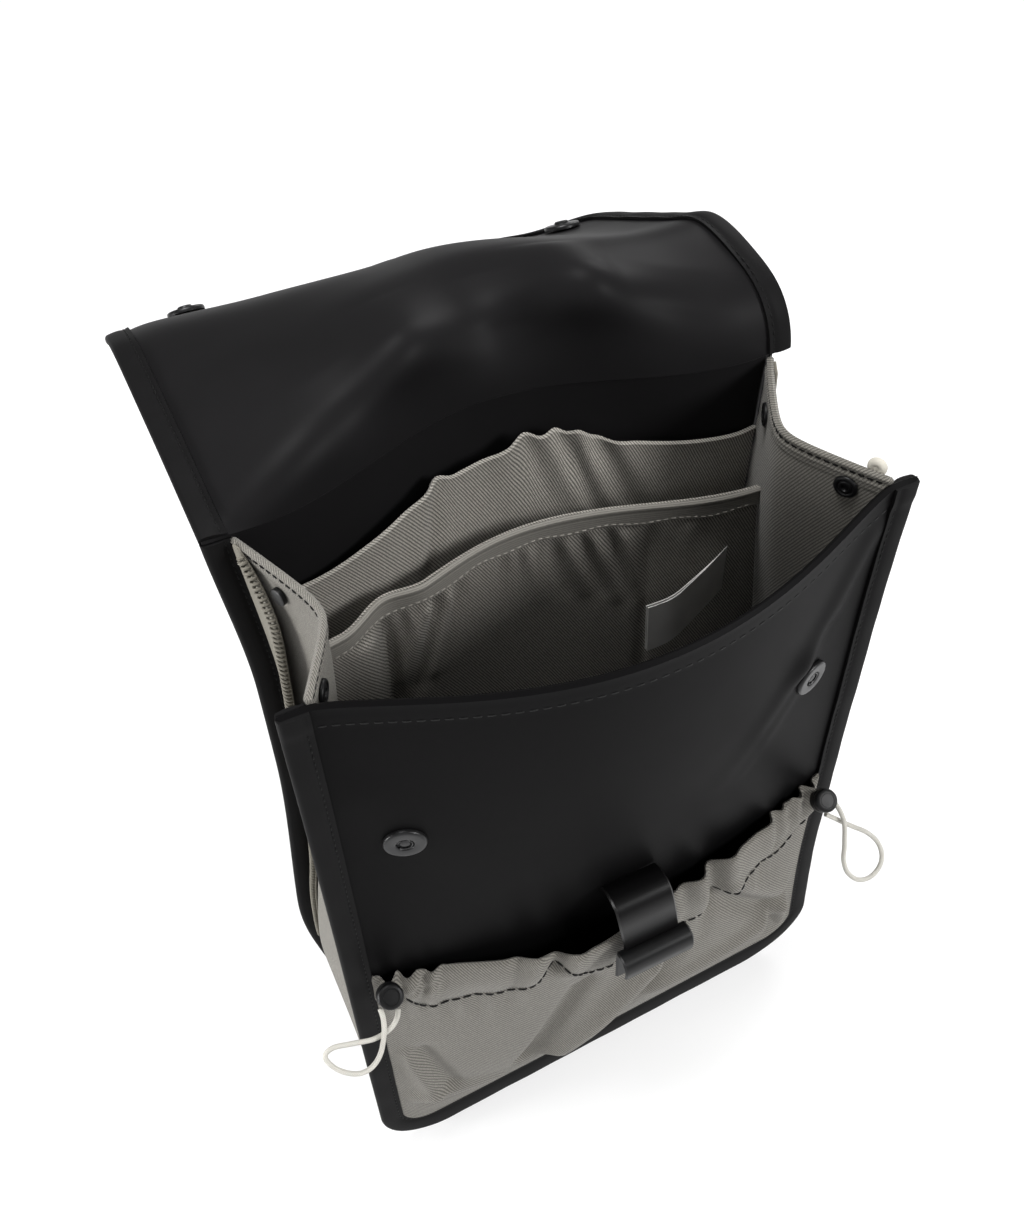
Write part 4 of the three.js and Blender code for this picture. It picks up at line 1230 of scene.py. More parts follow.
@dataclass
class Gusset:
    """The cloth strip that makes both sides and the base, with its studs and zips."""

    top: float = 393.0
    fold_start: float = 190.0
    fold_round: float = 0.2
    bulge: float = 9.0
    bulge_full: float = 120.0
    bulge_top: float = 240.0
    seam_share: float = 0.03
    base_rise: Pair = (0.22, 0.28)
    fold_depth: Pair = (18.0, 21.0)
    fold_line: Pair = (0.42, 0.5)
    hem: float = 8.5
    hem_thick: float = 0.9
    hem_seam: float = 2.8
    hem_stitch: Seam = Seam(3.8, 2.9, 0.8)
    piping: float = 1.1
    fullness: float = 24.0
    zip_stands: Pair = (7.0, 0.5)
    zip_ends: Pair = (390.0, 340.0)
    zip_flat: float = 250.0
    zip_edges: Rows = (
        (110, 0.84, 0.83), (250, 0.82, 0.82), (320, 0.69, 0.82), (360, 0.735, 0.83), (380, 0.835, 0.85),
        (393, 0.94, 0.89),
    )
    zip_bottom: float = 110.0
    zip_curls: Pair = (60.0, 70.0)
    tooth_pitch: float = 2.3
    tooth_size: Pair = (1.5, 1.1)
    tooth_lift: float = 0.4
    tooth_wire: float = 0.72
    tooth_inset: float = 0.012
    stud_radius: float = 5.25
    studs: tuple[tuple[str, Side, float, float], ...] = (
        ("left_front", Side.LEFT, 0.14, 379.0),
        ("left_back", Side.LEFT, 0.735, 379.0),
        ("right_front", Side.RIGHT, 0.165, 382.0),
        ("right_back", Side.RIGHT, 0.79, 379.0),
    )

    @property
    def edge(self) -> float:
        """How far the strip's path lies inside the panels' edges."""
        return BAG.flange + BAG.gap + BAG.cloth / 2

    @property
    def half(self) -> float:
        """Half the width of the strip's path."""
        return BAG.width / 2 - self.edge

    @property
    def radius(self) -> float:
        """The corner radius of the strip's path."""
        return BAG.corner - self.edge

    @property
    def deep(self) -> float:
        """The strip's own width, from front to back."""
        return BAG.depth - BAG.coated - 4 * BAG.gap

    @property
    def side_length(self) -> float:
        """The length of one upright side."""
        return self.top - BAG.corner

    @property
    def total(self) -> float:
        """The whole length of the strip."""
        return 2 * self.side_length + np.pi * self.radius + 2 * (self.half - self.radius)

    def run(self, side: Side, z: Array | float) -> Array:
        """The run along the strip of a height on one side."""
        down = self.top - np.asarray(z, float)
        return down if side is Side.LEFT else self.total - down

    def base_share(self, share: Array) -> Array:
        """How full the cloth is between its two seams.

        Args:
            share: Shares of the strip's width, from the front.

        Returns:
            The fullness, from 0 to 1.
        """
        front = smooth((share - self.seam_share) / (self.base_rise[0] - self.seam_share))
        back = smooth((1 - share - self.seam_share) / (self.base_rise[1] - self.seam_share))
        return front * back

    def fold_at(self, z: Array, share: Array, side: Array) -> Array:
        """How far the inward fold of a side draws the cloth in.

        Args:
            z: Heights.
            share: Shares of the strip's width, from the front.
            side: -1 on the left and 1 on the right.

        Returns:
            The distances.
        """
        depth = np.where(side < 0, *self.fold_depth)
        line = np.where(side < 0, *self.fold_line)
        t = np.where(share < line, share / line, (1 - share) / (1 - line))
        corner = np.hypot(1 - t, self.fold_round) - self.fold_round
        full = np.hypot(1, self.fold_round) - self.fold_round
        return depth * smooth((z - self.fold_start) / (self.top - self.fold_start)) * (1 - corner / full)

    def form(self, run: Array, share: Array) -> Array:
        """The strip's middle surface.

        Args:
            run: Distances along it from the left top edge.
            share: Shares of its width, from the front.

        Returns:
            The points.
        """
        y = (share - 0.5) * self.deep
        side = np.where(run < self.total / 2, -1.0, 1.0)
        down = np.minimum(run, self.total - run)
        full = self.base_share(share)
        sag = self.edge - BAG.cloth / 2
        z = self.top - down
        swell = 1 - smooth((z - self.bulge_full) / (self.bulge_top - self.bulge_full))
        wall = self.half + self.bulge * swell * full - self.fold_at(z, share, side)
        turn = np.clip((down - self.side_length) / self.radius, 0, np.pi / 2)
        out = self.radius + mix(self.bulge, sag, smooth(turn / (np.pi / 2))) * full
        corner_end = self.side_length + np.pi / 2 * self.radius
        on_wall, on_corner = down <= self.side_length, down <= corner_end
        x_corner = self.half - self.radius + out * np.cos(turn)
        x_base = self.half - self.radius - (down - corner_end)
        x = np.where(on_wall, wall, np.where(on_corner, x_corner, x_base))
        low = np.where(on_corner, BAG.corner - out * np.sin(turn), self.edge - sag * full)
        return stack(side * x, y, np.where(on_wall, z, low))

    def inner_half(self, z: Array, y: float, side: Array) -> Array:
        """The half width inside the bag.

        Args:
            z: Heights.
            y: The depth.
            side: -1 on the left and 1 on the right.

        Returns:
            The distances from the middle.
        """
        drop = np.maximum(0, BAG.corner - z)
        half = self.half - self.radius + np.sqrt(np.maximum(0, self.radius**2 - drop**2))
        return half - BAG.cloth / 2 - self.fold_at(z, np.full_like(z, y / self.deep + 0.5), side)

    def relief(self, run: Array, share: Array) -> Array:
        """Puckers along the sewn edges and the dip at the hem's stitches.

        Args:
            run: Distances along the strip.
            share: Shares of its width.

        Returns:
            The heights.
        """
        down = np.minimum(run, self.total - run)
        near = bell(np.minimum(share, 1 - share), 0.07)
        pucker = 0.35 * near * np.sin(run / 2.7) * np.sin(run / 11.0 + 0.6)
        dip = -0.2 * bell(down - self.hem_seam, 0.9)
        soft = 0.5 * np.sin(run / 31.0 + 4 * share) * np.sin(np.pi * share) * smooth((down - 20) / 60)
        return pucker + dip + soft

    def strip(self) -> None:
        """Builds the strip with its hemmed ends and their stitches."""
        cloth = Cloth(self.form, 1, (), self.relief)
        hem_runs, low_runs = np.linspace(0, self.hem + 2, 26), np.arange(self.hem + 5, self.total / 2, 3.4)
        near_top = np.concatenate([hem_runs, low_runs])
        runs = np.concatenate([near_top, [self.total / 2], self.total - near_top[::-1]])
        run, share = np.meshgrid(runs, np.linspace(0, 1, 61), indexing="ij")
        down = np.minimum(run, self.total - run)
        hem = 1 - smooth((down - self.hem + 0.8) / 1.2)
        ridge = bell(down - 0.8, 1.0) + 0.75 * bell(down - 4.8, 0.9)
        thick = BAG.cloth + self.hem_thick * hem + self.piping * ridge
        build = Build().sheet(cloth, run, share, thick, stack(share * self.deep, run))
        cut = (self.deep + self.fullness, self.total)
        publish_cloth(build, "gusset", "cloth", TWILL, cut)
        stitches = Build()
        across = np.linspace(0.02, 0.98, 90)
        lift = (BAG.cloth + self.hem_thick) / 2
        for side in Side:
            along = np.full_like(across, float(self.run(side, self.top - self.hem_seam)))
            for face in (1, -1):
                self.hem_stitch.sew(stitches, cloth, along, across, face * lift)
        publish(stitches, "gusset_hem_stitches", DARK_THREAD)

    def press_studs(self) -> None:
        """Builds the four small press studs near the top edges."""
        r = self.stud_radius
        profile = (
            (0, -3.2), (3.3, -3.2), (3.8, -2.9), (3.9, -2.4), (3.9, -1.1), (2.0, -1.1), (2.0, 1.1), (r, 1.1),
            (r, 1.7), (r - 0.3, 2.2), (r - 0.9, 2.45), (r - 1.5, 2.4), (r - 1.8, 2.0), (r - 2.1, 1.9),
            (r - 2.4, 2.2), (r - 2.9, 2.4), (r - 3.4, 2.3), (r - 3.7, 1.7), (r - 3.9, 1.3), (0, 1.3),
        )
        for name, side, share, z in self.studs:
            run, place = np.array(float(self.run(side, z))), np.array(share)
            seat = Cloth(self.form).at(run, place)
            axis = Cloth(self.form).facing(run, place)
            axis = axis * (-side.value if axis[0] > 0 else side.value)
            build = Build().turned(profile, 40, seat, axis)
            publish(build, f"gusset_stud_{name}_moulding", PLASTIC, f"gusset_stud_{name}")

    def zip_tape(self, side: Side, column: int) -> Cloth:
        """A zip's tape, seen from outside the bag.

        Args:
            side: The side that it is on.
            column: That side's column in the table of the tape's edges.

        Returns:
            The tape.
        """
        lift = BAG.cloth / 2 + 3 * BAG.gap + BAG.tape / 2
        sewn = 1 - self.seam_share

        def stand(run: Array, share: Array) -> Array:
            """How far the tape stands off the strip: most at its toothed edge."""
            z = self.top - np.minimum(run, self.total - run)
            free = smooth((sewn - share) / (sewn - curve(self.zip_edges, z, column)))
            above, below = self.zip_curls
            high = smooth((self.top - z) / above) * smooth((z - self.zip_flat) / below)
            return lift + free * (self.zip_stands[column - 1] * high + 0.3 * np.sin(run / 9.0))

        looks = float(Cloth(self.form).facing(self.run(side, 300.0), np.array(0.9))[0])
        return Cloth(self.form, -1 if looks * side.value < 0 else 1, (), stand)

    def zips(self) -> None:
        """Builds the zip tapes on the outer faces and their coils of teeth."""
        across, z = np.meshgrid(np.linspace(0, 1, 11), np.linspace(self.zip_bottom, self.top, 150))
        sewn = 1 - self.seam_share
        for side in Side:
            column = 1 if side is Side.LEFT else 2
            tape = self.zip_tape(side, column)
            share = mix(curve(self.zip_edges, z, column), sewn, across)
            run = self.run(side, z)
            build = Build().sheet(tape, run, share, BAG.tape, stack(share * self.deep, run))
            cut = (float(np.mean(sewn - share[:, 0])) * self.deep, self.top - self.zip_bottom)
            publish_cloth(build, f"zip_{side.word}", "tape", ZIP, cut)
            line = np.linspace(self.zip_bottom + 2, self.zip_ends[column - 1], 300)
            at_edge = curve(self.zip_edges, line, column) + self.tooth_inset
            along = self.run(side, line)
            coil = self.teeth(tape.at(along, at_edge, BAG.tape / 2 + 0.5), tape.facing(along, at_edge))
            publish(coil, f"zip_{side.word}_coil", ZIP)

    def teeth(self, path: Array, facing: Array) -> Build:
        """A coil of teeth along a path, with one turn to each pitch.

        Args:
            path: Points along the coil's middle.
            facing: The directions in which the tape looks there.

        Returns:
            The coil's mesh.
        """
        run = run_along(path)
        fine = np.linspace(0, run[-1], int(run[-1] / self.tooth_pitch * 14))
        middle, looks = at_run(path, run, fine), unit(at_run(facing, run, fine))
        aside = np.cross(unit(np.gradient(middle, axis=0)), looks)
        turn = 2 * np.pi * fine / self.tooth_pitch
        wide, high = self.tooth_size
        line = middle + aside * (wide * np.cos(turn))[:, None]
        line = line + looks * (high * np.sin(turn) + self.tooth_lift)[:, None]
        return Build().rings(tube_rings(line, self.tooth_wire, 7))

    def build(self) -> None:
        """Builds the strip, its studs and its zips."""
        self.strip()
        self.press_studs()
        self.zips()


@dataclass
class Flap:
    """The coated lid, thrown back, with the tape that binds it."""

    length: float = 205.0
    corner: float = 26.0
    binding_start: float = 0.6
    right_hinge: float = 0.985
    right_scale: float = 0.948
    right_taper: float = 70.0
    steep: float = 80.0
    integration_steps: int = 41
    columns: int = 121
    row: float = 2.2
    tape_wave: float = 0.35
    slopes: Rows = (
        (0, 13, 12, 9), (30, 8, 7, 15), (60, 2, -2, 6), (85, 1, -22, -28), (110, -3, -28, -29),
        (135, -22, -36, -28), (160, -33, -37, -28), (205, -50, -37, -30),
    )
    bends: Rows = (
        (-135, -14), (-118, 4), (-98, 15), (-70, 24), (-35, 34), (0, 32), (45, 41), (70, 35), (100, 26),
        (135, 23),
    )
    spreads: Rows = (
        (-135, 26), (-60, 28), (-30, 22), (10, 38), (48, 22), (75, 38), (110, 48), (135, 50),
    )
    folds: tuple[Fold, ...] = folds_of((
        (50, 46, 47, 80, 7.0, 15.0, 0.0), (-30, 40, -26, 70, 4.6, 15.0, 0.0),
        (12, 30, 12, 60, -5.5, 17.0, 0.0), (84, 28, 92, 50, -3.5, 18.0, 0.0),
        (-62, 28, -62, 48, -3.0, 15.0, 0.0),
    ))

    def slope(self, x: Array, along: Array) -> Array:
        """The direction in which the lid runs on.

        Args:
            x: Places across.
            along: Distances from its hinge.

        Returns:
            The angles above the floor, in radians.
        """
        t = 2 * x / BAG.width
        middle = curve(self.slopes, along, 2)
        edge = np.where(t < 0, curve(self.slopes, along, 1), curve(self.slopes, along, 3))
        bent = smooth((along - curve(self.bends, x)) / curve(self.spreads, x) + 0.5)
        return np.radians(mix(self.steep, mix(middle, edge, smooth(np.abs(t))), bent))

    def form(self, x: Array, along: Array) -> Array:
        """The lid's middle surface.

        Args:
            x: Places across.
            along: Distances from its hinge.

        Returns:
            The points.
        """
        x, along = np.broadcast_arrays(np.asarray(x, float), np.asarray(along, float))
        flat = BAG.coated / 2 * np.cos(self.slope(x, np.zeros_like(x)))
        y = BAG.depth / 2 + BAG.back_bow * BAG.back_middle(x) * BAG.bow_up(BAG.back_height) - flat
        z = BAG.back_height + BAG.gap + flat
        for i in range(self.integration_steps):
            slope = self.slope(x, (i + 0.5) / self.integration_steps * along)
            y = y + np.cos(slope) * along / self.integration_steps
            z = z + np.sin(slope) * along / self.integration_steps
        right = mix(self.right_hinge, self.right_scale, smooth(along / self.right_taper))
        return stack(np.where(x < 0, x, x * right), y, z)

    def pattern(self, x: Array, from_end: Array) -> Array:
        """The lid at a place across and a distance from its free end."""
        return self.form(x, self.length - from_end)

    def folded(self, x: Array, from_end: Array) -> Array:
        """The height of the lid's soft folds."""
        fade = smooth((BAG.width / 2 - 8 - np.abs(x)) / 22)
        return fade * sum(fold.at(x, self.length - from_end) for fold in self.folds)

    def build(self) -> None:
        """Builds the lid, its tape and its stitches."""
        cloth = Cloth(self.pattern, -1, (), self.folded)
        half = BAG.width / 2 - BAG.inset
        x, b = rounded_grid(half, self.corner - BAG.inset, self.length - BAG.inset, self.columns, self.row)
        build = Build().sheet(cloth, x, b + BAG.inset, BAG.coated)
        cut = (BAG.width, self.length)
        publish_cloth(build, "flap", "cloth", COATED_PAINTED_LIGHTER, cut, BAG.cut_share)
        tape = FoldedTape(BAG.flange, BAG.coated / 2 + BAG.gap, end_thick=0.0, wave=self.tape_wave)
        bind("flap_binding", cloth, tape, self.length, self.corner, self.binding_start)


@dataclass
class FrontPocket:
    """The gathered cloth pocket on the front, with a corded hem."""

    top: float = 192.0
    belly: float = 12.0
    mouth: float = 14.0
    mouth_sag: float = 9.0
    ruffle_pitch: float = 9.6
    ruffle_height: float = 4.2
    ruffle_start: float = 88.0
    ruffle_drop: float = 70.0
    ruffle_crest: float = 116.0
    base_extra: float = 9.5
    hem_swell: float = 2.6
    hem_thick: float = 1.3
    stitch: Seam = Seam(5.6, 4.4, 1.0)
    stitch_lift: float = 1.4
    fullness: Pair = (60.0, 20.0)
    cut_share: float = 0.97
    columns: int = 241
    row: float = 2.1
    heights: Rows = (
        (22, 0, 0), (38, 0.4, 0), (58, 0.82, 0), (80, 1, 0.05), (115, 0.86, 0.16), (150, 0.42, 0.55),
        (175, 0.08, 0.92), (195, 0, 1),
    )
    mouths: Rows = (
        (-123, 0), (-104, 0.1), (-75, 0.38), (-50, 0.68), (-25, 1), (0, 0.8), (20, 0.62), (45, 0.5),
        (70, 0.45), (100, 0.15), (123, 0),
    )
    seam_drops: Rows = (
        (-123, 20), (-109, 22), (-102, 33), (-81, 31), (-62, 35), (-52, 34), (-43, 20), (-36, 22),
        (-20, 40), (0, 44), (20, 46), (39, 46), (49, 44), (54, 34), (70, 36), (83, 38), (101, 44),
        (108, 38), (123, 34),
    )
    folds: tuple[Fold, ...] = folds_of((
        (-57, 196, -60, 158, -3.0, 4.0, 0.5), (-40, 196, -40, 168, -7.2, 5.2, 0.5),
        (-30, 194, -33, 158, 4.0, 5.5, 0.5), (-49, 192, -51, 162, 3.6, 5.0, 0.4),
        (29, 196, 34, 152, -3.0, 3.8, 0.4), (48, 196, 54, 146, -6.2, 4.8, 0.8),
        (58, 196, 61, 154, 4.2, 5.5, 0.5), (39, 190, 45, 148, 3.6, 5.0, 0.6),
        (93, 196, 96, 158, -4.6, 4.6, 0.6), (85, 190, 87, 160, 3.0, 5.0, 0.5),
        (14, 120, -32, 50, 8.5, 9.0, 0.8), (-24, 130, -53, 48, -6.5, 7.5, 1.1),
        (32, 104, -8, 52, -6.0, 8.0, 0.7), (56, 147, 98, 84, -7.0, 6.5, 0.9),
        (62, 158, 106, 98, 5.0, 8.0, 0.7), (102, 73, 24, 74, 6.0, 7.5, 0.5),
        (96, 52, 44, 54, -4.5, 8.0, 0.5), (101, 74, 111, 34, -5.0, 4.5, 0.8),
        (109, 76, 116, 38, 4.5, 4.5, 0.7), (-117, 112, -105, 60, 3.5, 5.5),
        (-108, 112, -96, 66, -3.0, 5.5), (-116, 60, -69, 44, 3.6, 7.5, 0.7),
        (-104, 47, -62, 36, -2.6, 6.5, 0.5), (52, 138, 50, 112, -3.5, 6.0, 0.3),
    ))

    @property
    def half(self) -> float:
        """Half the pocket's finished width."""
        return BAG.width / 2 - BAG.flange - BAG.gap

    @property
    def base(self) -> float:
        """The height of the pocket's lower edge."""
        return BAG.flange + BAG.gap + self.base_extra

    def room(self, x: Array, z: Array) -> Array:
        """How far the pocket's cloth hangs off the front wall."""
        belly = self.belly * curve(self.heights, z, 1) * np.maximum(0, 1 - (x / self.half) ** 4)
        return belly + self.mouth * curve(self.heights, z, 2) * curve(self.mouths, x)

    def form(self, x: Array, z: Array) -> Array:
        """The pocket's middle surface, at places across and up."""
        off = BAG.coated / 2 + 2 * BAG.gap + BAG.cloth / 2 + self.room(x, z)
        return BAG.front(x, z) - stack(0.0, off, 0.0)

    def seam_drop(self, x: Array) -> Array:
        """How far the hem's stitches lie below the pocket's full height."""
        return curve(self.seam_drops, x) + 0.45 * self.mouth_sag * curve(self.mouths, x)

    def relief(self, x: Array, z: Array) -> Array:
        """Ruffles at both ends, the swell of the hem, and the small gathers under it.

        Args:
            x: Places across.
            z: Heights.

        Returns:
            The heights of the relief.
        """
        edge = np.abs(x)
        up = smooth((z - self.top + self.ruffle_drop) / self.ruffle_drop) ** 2
        window = smooth((edge - self.ruffle_start) / 14) * smooth((self.half - edge) / 3)
        phase = 2 * np.pi * (edge - self.ruffle_crest) / self.ruffle_pitch
        crest = (0.5 + 0.5 * np.cos(phase + 0.5 * np.sin(z / 7.0))) ** 0.8
        ruffle = self.ruffle_height * window * up * crest
        creased = np.sin(edge / 1.15 + z / 2.6) * np.sin(z / 3.1)
        crush = 1.1 * window * smooth((z - self.top + 26) / 16) * creased
        below = self.top - z
        drop = self.seam_drop(x)
        hem = self.hem_swell * np.sin(np.pi * np.clip(below / drop, 0, 1)) ** 1.2
        pinch = -0.8 * bell(below - drop, 2.4)
        gather = 0.9 * bell(below - drop - 8, 10) * np.sin(x / 2.9 + 1.4 * np.sin(x / 13)) ** 3
        free = smooth((self.half - edge) / 6) * smooth((z - self.base) / 14)
        return ruffle + (crush + hem + pinch + gather * (1 - window)) * free

    def folded(self, x: Array, z: Array) -> Array:
        """The whole relief: the drape folds and the finer gathers.

        Args:
            x: Places across.
            z: Heights.

        Returns:
            The heights of the relief.
        """
        held = smooth((self.half - np.abs(x)) / 10) * smooth((z - self.base) / 16)
        height = self.relief(x, z) + held * sum(fold.at(x, z) for fold in self.folds)
        return np.maximum(height, BAG.gap - self.room(x, z))

    def mouth_edge(self, x: Array) -> Array:
        """How far the mouth's edge dips and rises along the hem.

        Args:
            x: Places across.

        Returns:
            The rises, below 0 in a dip.
        """
        window = smooth((np.abs(x) - self.ruffle_start) / 14)
        dips = sum(fold.at(x, np.full_like(x, self.top)) for fold in self.folds)
        waves = 1.3 * window * np.sin(np.abs(x) / 1.6) + 0.5 * np.sin(x / 8.0)
        return 0.9 * dips + waves - self.mouth_sag * curve(self.mouths, x)

    def build(self) -> None:
        """Builds the pocket and the stitches of its hem."""
        cloth = Cloth(self.form, 1, (), self.folded)
        x, b = rounded_grid(self.half, BAG.corner - self.base, self.top - self.base, self.columns, self.row)
        z = b + self.base
        z = z + self.mouth_edge(x) * smooth((z - self.top + 30) / 30)
        hem = 1 - smooth((self.top - z - self.seam_drop(x) + 1) / 2)
        build = Build().sheet(cloth, x, z, BAG.cloth + self.hem_thick * hem)
        cut = (2 * self.half + self.fullness[0], self.top - self.base + self.fullness[1])
        publish_cloth(
            build, "front_pocket", "cloth", TWILL, cut, self.cut_share
        )
        stitches = Build()
        line = np.linspace(-self.half + 3, self.half - 3, 420)
        height = self.top - self.seam_drop(line)
        self.stitch.sew(stitches, cloth, line, height, BAG.cloth / 2 + self.stitch_lift)
        publish(stitches, "front_pocket_stitches", DARK_THREAD)


@dataclass
class InsidePockets:
    """The laptop sleeve, the organiser in front of it with its trim, and the blank label."""

    gusset: Gusset
    sleeve_bottom: float = 20.0
    sleeve_top: float = 357.0
    sleeve_arch: float = 15.0
    sleeve_arch_low: float = 200.0
    sleeve_room: float = 8.5
    sleeve_fill: float = 80.0
    sleeve_clear: float = 1.0
    sleeve_held: float = 104.0
    sleeve_roll: float = 1.1
    sleeve_extra: float = 20.0
    organiser_bottom: float = 24.0
    organiser_top: float = 345.0
    organiser_room: float = 14.5
    organiser_fill: float = 90.0
    organiser_fill_drop: float = 10.0
    organiser_edge: float = 17.5
    organiser_clear: float = 0.7
    organiser_held: float = 100.0
    seam_x: float = -73.0
    seam_width: float = 22.0
    seam_draw: float = 0.45
    trim_width: float = 10.0
    trim_short: float = 20.0
    trim_stitch: Seam = Seam(3.4, 2.4, 0.6)
    label_right: float = 96.0
    label_width: float = 51.5
    label_bottom: float = 284.5
    label_height: float = 28.0
    label_lean: float = 0.65
    label_turn: float = 39.0
    label_face: float = 0.25
    label_thick: float = 0.4
    label_leaves: Rows = ((1.6, 3.0), (0.0, 3.6))
    sleeve_rises: Rows = (
        (-112, 0), (-70, 0.5), (-45, 2), (-31, 4.5), (-24, 1.5), (-6, 1.5), (4, 3), (12, 7.5), (18, 6),
        (25, 7.5), (30, 6), (35, 8), (42, 3), (60, 2), (92, 1.5), (112, 0),
    )
    sleeve_folds: tuple[Fold, ...] = folds_of((
        (-29, 366, -43, 318, -2.6, 4.5), (-36, 362, -52, 316, 1.8, 7.0),
        (14, 372, 36, 322, 2.0, 4.5, 0.6), (20, 372, 44, 318, -2.6, 4.5, 0.7),
        (27, 372, 50, 326, 1.8, 4.0, 0.6), (39, 370, 60, 322, -3.0, 5.0, 0.7),
        (46, 366, 72, 326, 1.6, 6.0, 0.5), (0, 366, 6, 320, 1.4, 7.0, 0.5),
        (8, 368, 22, 326, -1.6, 4.0, 0.5), (-60, 350, -70, 300, 1.0, 10.0),
    ))
    organiser_folds: tuple[Fold, ...] = folds_of((
        (-52, 336, -70, 290, 3.2, 4.2, 0.5), (-45, 338, -62, 284, -3.0, 4.0, 0.5),
        (-39, 338, -54, 290, 2.8, 3.8, 0.4), (-33, 336, -46, 296, -2.2, 3.6, 0.3),
        (-10, 334, -14, 304, -1.8, 4.0, 0.2), (4, 334, 6, 300, 1.8, 4.0, 0.2),
        (12, 334, 20, 300, -2.4, 3.8, 0.3), (20, 334, 30, 298, 2.4, 3.6, 0.3),
        (27, 334, 38, 296, -3.0, 3.6, 0.3), (33, 334, 46, 290, 3.0, 3.6, 0.3),
        (40, 334, 52, 288, -3.0, 3.6, 0.3), (46, 334, 57, 286, 2.6, 3.6, 0.4),
        (58.5, 340, 58.5, 100, -2.4, 3.2), (72, 336, 78, 300, 1.6, 6.0, 0.3),
        (-86, 332, -86, 200, 3.2, 8.0), (-73, 336, -73, 160, -4.2, 3.4),
    ))

    def sleeve_form(self, x: Array, z: Array) -> Array:
        """The sleeve's middle surface, off the back wall.

        Args:
            x: Places across.
            z: Heights.

        Returns:
            The points.
        """
        up = smooth((z - self.sleeve_arch_low) / (self.sleeve_top - self.sleeve_arch_low))
        rise = curve(self.sleeve_rises, x) * smooth((z - 300) / (self.sleeve_top - 300))
        points = BAG.back(x, z + self.sleeve_arch * up * BAG.back_middle(x) + rise)
        full = np.maximum(0, 1 - (x / self.gusset.half) ** 2)
        room = self.sleeve_room * full * smooth((z - self.sleeve_bottom) / self.sleeve_fill)
        points[..., 1] -= BAG.coated / 2 + 3 * BAG.gap + BAG.cloth / 2 + room
        return points

    def organiser_form(self, x: Array, z: Array) -> Array:
        """The organiser's middle surface, in front of the sleeve.

        Args:
            x: Places across.
            z: Heights.

        Returns:
            The points.
        """
        points = BAG.back(x, z)
        fill = smooth((z - self.organiser_bottom + self.organiser_fill_drop) / self.organiser_fill)
        seam = 1 - smooth(np.abs(x - self.seam_x) / self.seam_width)
        room = self.organiser_room * fill * (1 - self.seam_draw * seam)
        points[..., 1] -= BAG.coated / 2 + 3 * BAG.gap + 1.5 * BAG.cloth + self.sleeve_room + room
        return points

    def grid(self, heights: Array, columns: int, depth: float, clear: float) -> tuple[Array, Array]:
        """A grid of places between the two inner walls of the bag.

        Args:
            heights: The heights of its rows.
            columns: How many columns it has.
            depth: The depth at which its side edges lie.
            clear: How far those edges keep from the walls.

        Returns:
            The places across and up.
        """
        share, z = np.meshgrid(np.linspace(-1, 1, columns), heights)
        return share * (self.gusset.inner_half(z, depth, np.sign(share)) - clear), z

    def gathers(self, x: Array, z: Array) -> Array:
        """Fine gathers of the organiser just below its trim."""
        wave = np.sin(x / 1.9 + 1.7 * np.sin(x / 9.0)) * np.sin(x / 23.0 + 0.7)
        return 1.2 * wave * bell(np.maximum(0, self.organiser_top - self.trim_width - z), 13.0)

    def held(self, folds: tuple[Fold, ...], half: float, extra: Form | None = None) -> Form:
        """A relief of folds that dies out at the sewn side edges.

        Args:
            folds: The folds.
            half: Half the width between those edges.
            extra: A finer relief that goes with them.

        Returns:
            The relief.
        """
        def relief(x: Array, z: Array) -> Array:
            """The folds' height."""
            height = sum(fold.at(x, z) for fold in folds)
            if extra is not None:
                height = height + extra(x, z)
            return height * smooth((half - np.abs(x)) / 12)
        return relief

    def sleeve(self) -> None:
        """Builds the laptop sleeve with its rolled top edge."""
        cloth = Cloth(self.sleeve_form, 1, (), self.held(self.sleeve_folds, self.sleeve_held))
        low, high = np.arange(self.sleeve_bottom, 240, 6.0), np.arange(240, self.sleeve_top, 2.2)
        edge = self.gusset.deep / 2 - 2 * BAG.cloth
        x, z = self.grid(np.concatenate([low, high, [self.sleeve_top]]), 141, edge, self.sleeve_clear)
        thick = BAG.cloth + self.sleeve_roll * bell(self.sleeve_top - z, 3.0)
        build = Build().sheet(cloth, x, z, thick)
        cut = (2 * self.gusset.half, self.sleeve_top - self.sleeve_bottom + self.sleeve_extra)
        publish_cloth(build, "laptop_sleeve", "cloth", TWILL_PAINTED_LIGHTER, cut)

    def organiser(self) -> None:
        """Builds the organiser pocket."""
        folds = self.held(self.organiser_folds, self.organiser_held, self.gathers)
        flat = self.organiser_top - self.trim_width

        def relief(x: Array, z: Array) -> Array:
            """The folds, which die out under the trim."""
            return folds(x, z) * smooth((flat + 1.0 - z) / 7.0)

        cloth = Cloth(self.organiser_form, 1, (), relief)
        low, high = np.arange(self.organiser_bottom, 200, 6.0), np.arange(200, self.organiser_top, 2.2)
        heights = np.concatenate([low, high, [self.organiser_top]])
        x, z = self.grid(heights, 161, self.organiser_edge, self.organiser_clear)
        build = Build().sheet(cloth, x, z, BAG.cloth)
        cut = (2 * self.gusset.half, self.organiser_top - self.organiser_bottom)
        publish_cloth(build, "organiser_pocket", "cloth", TWILL_PAINTED_LIGHTER, cut)

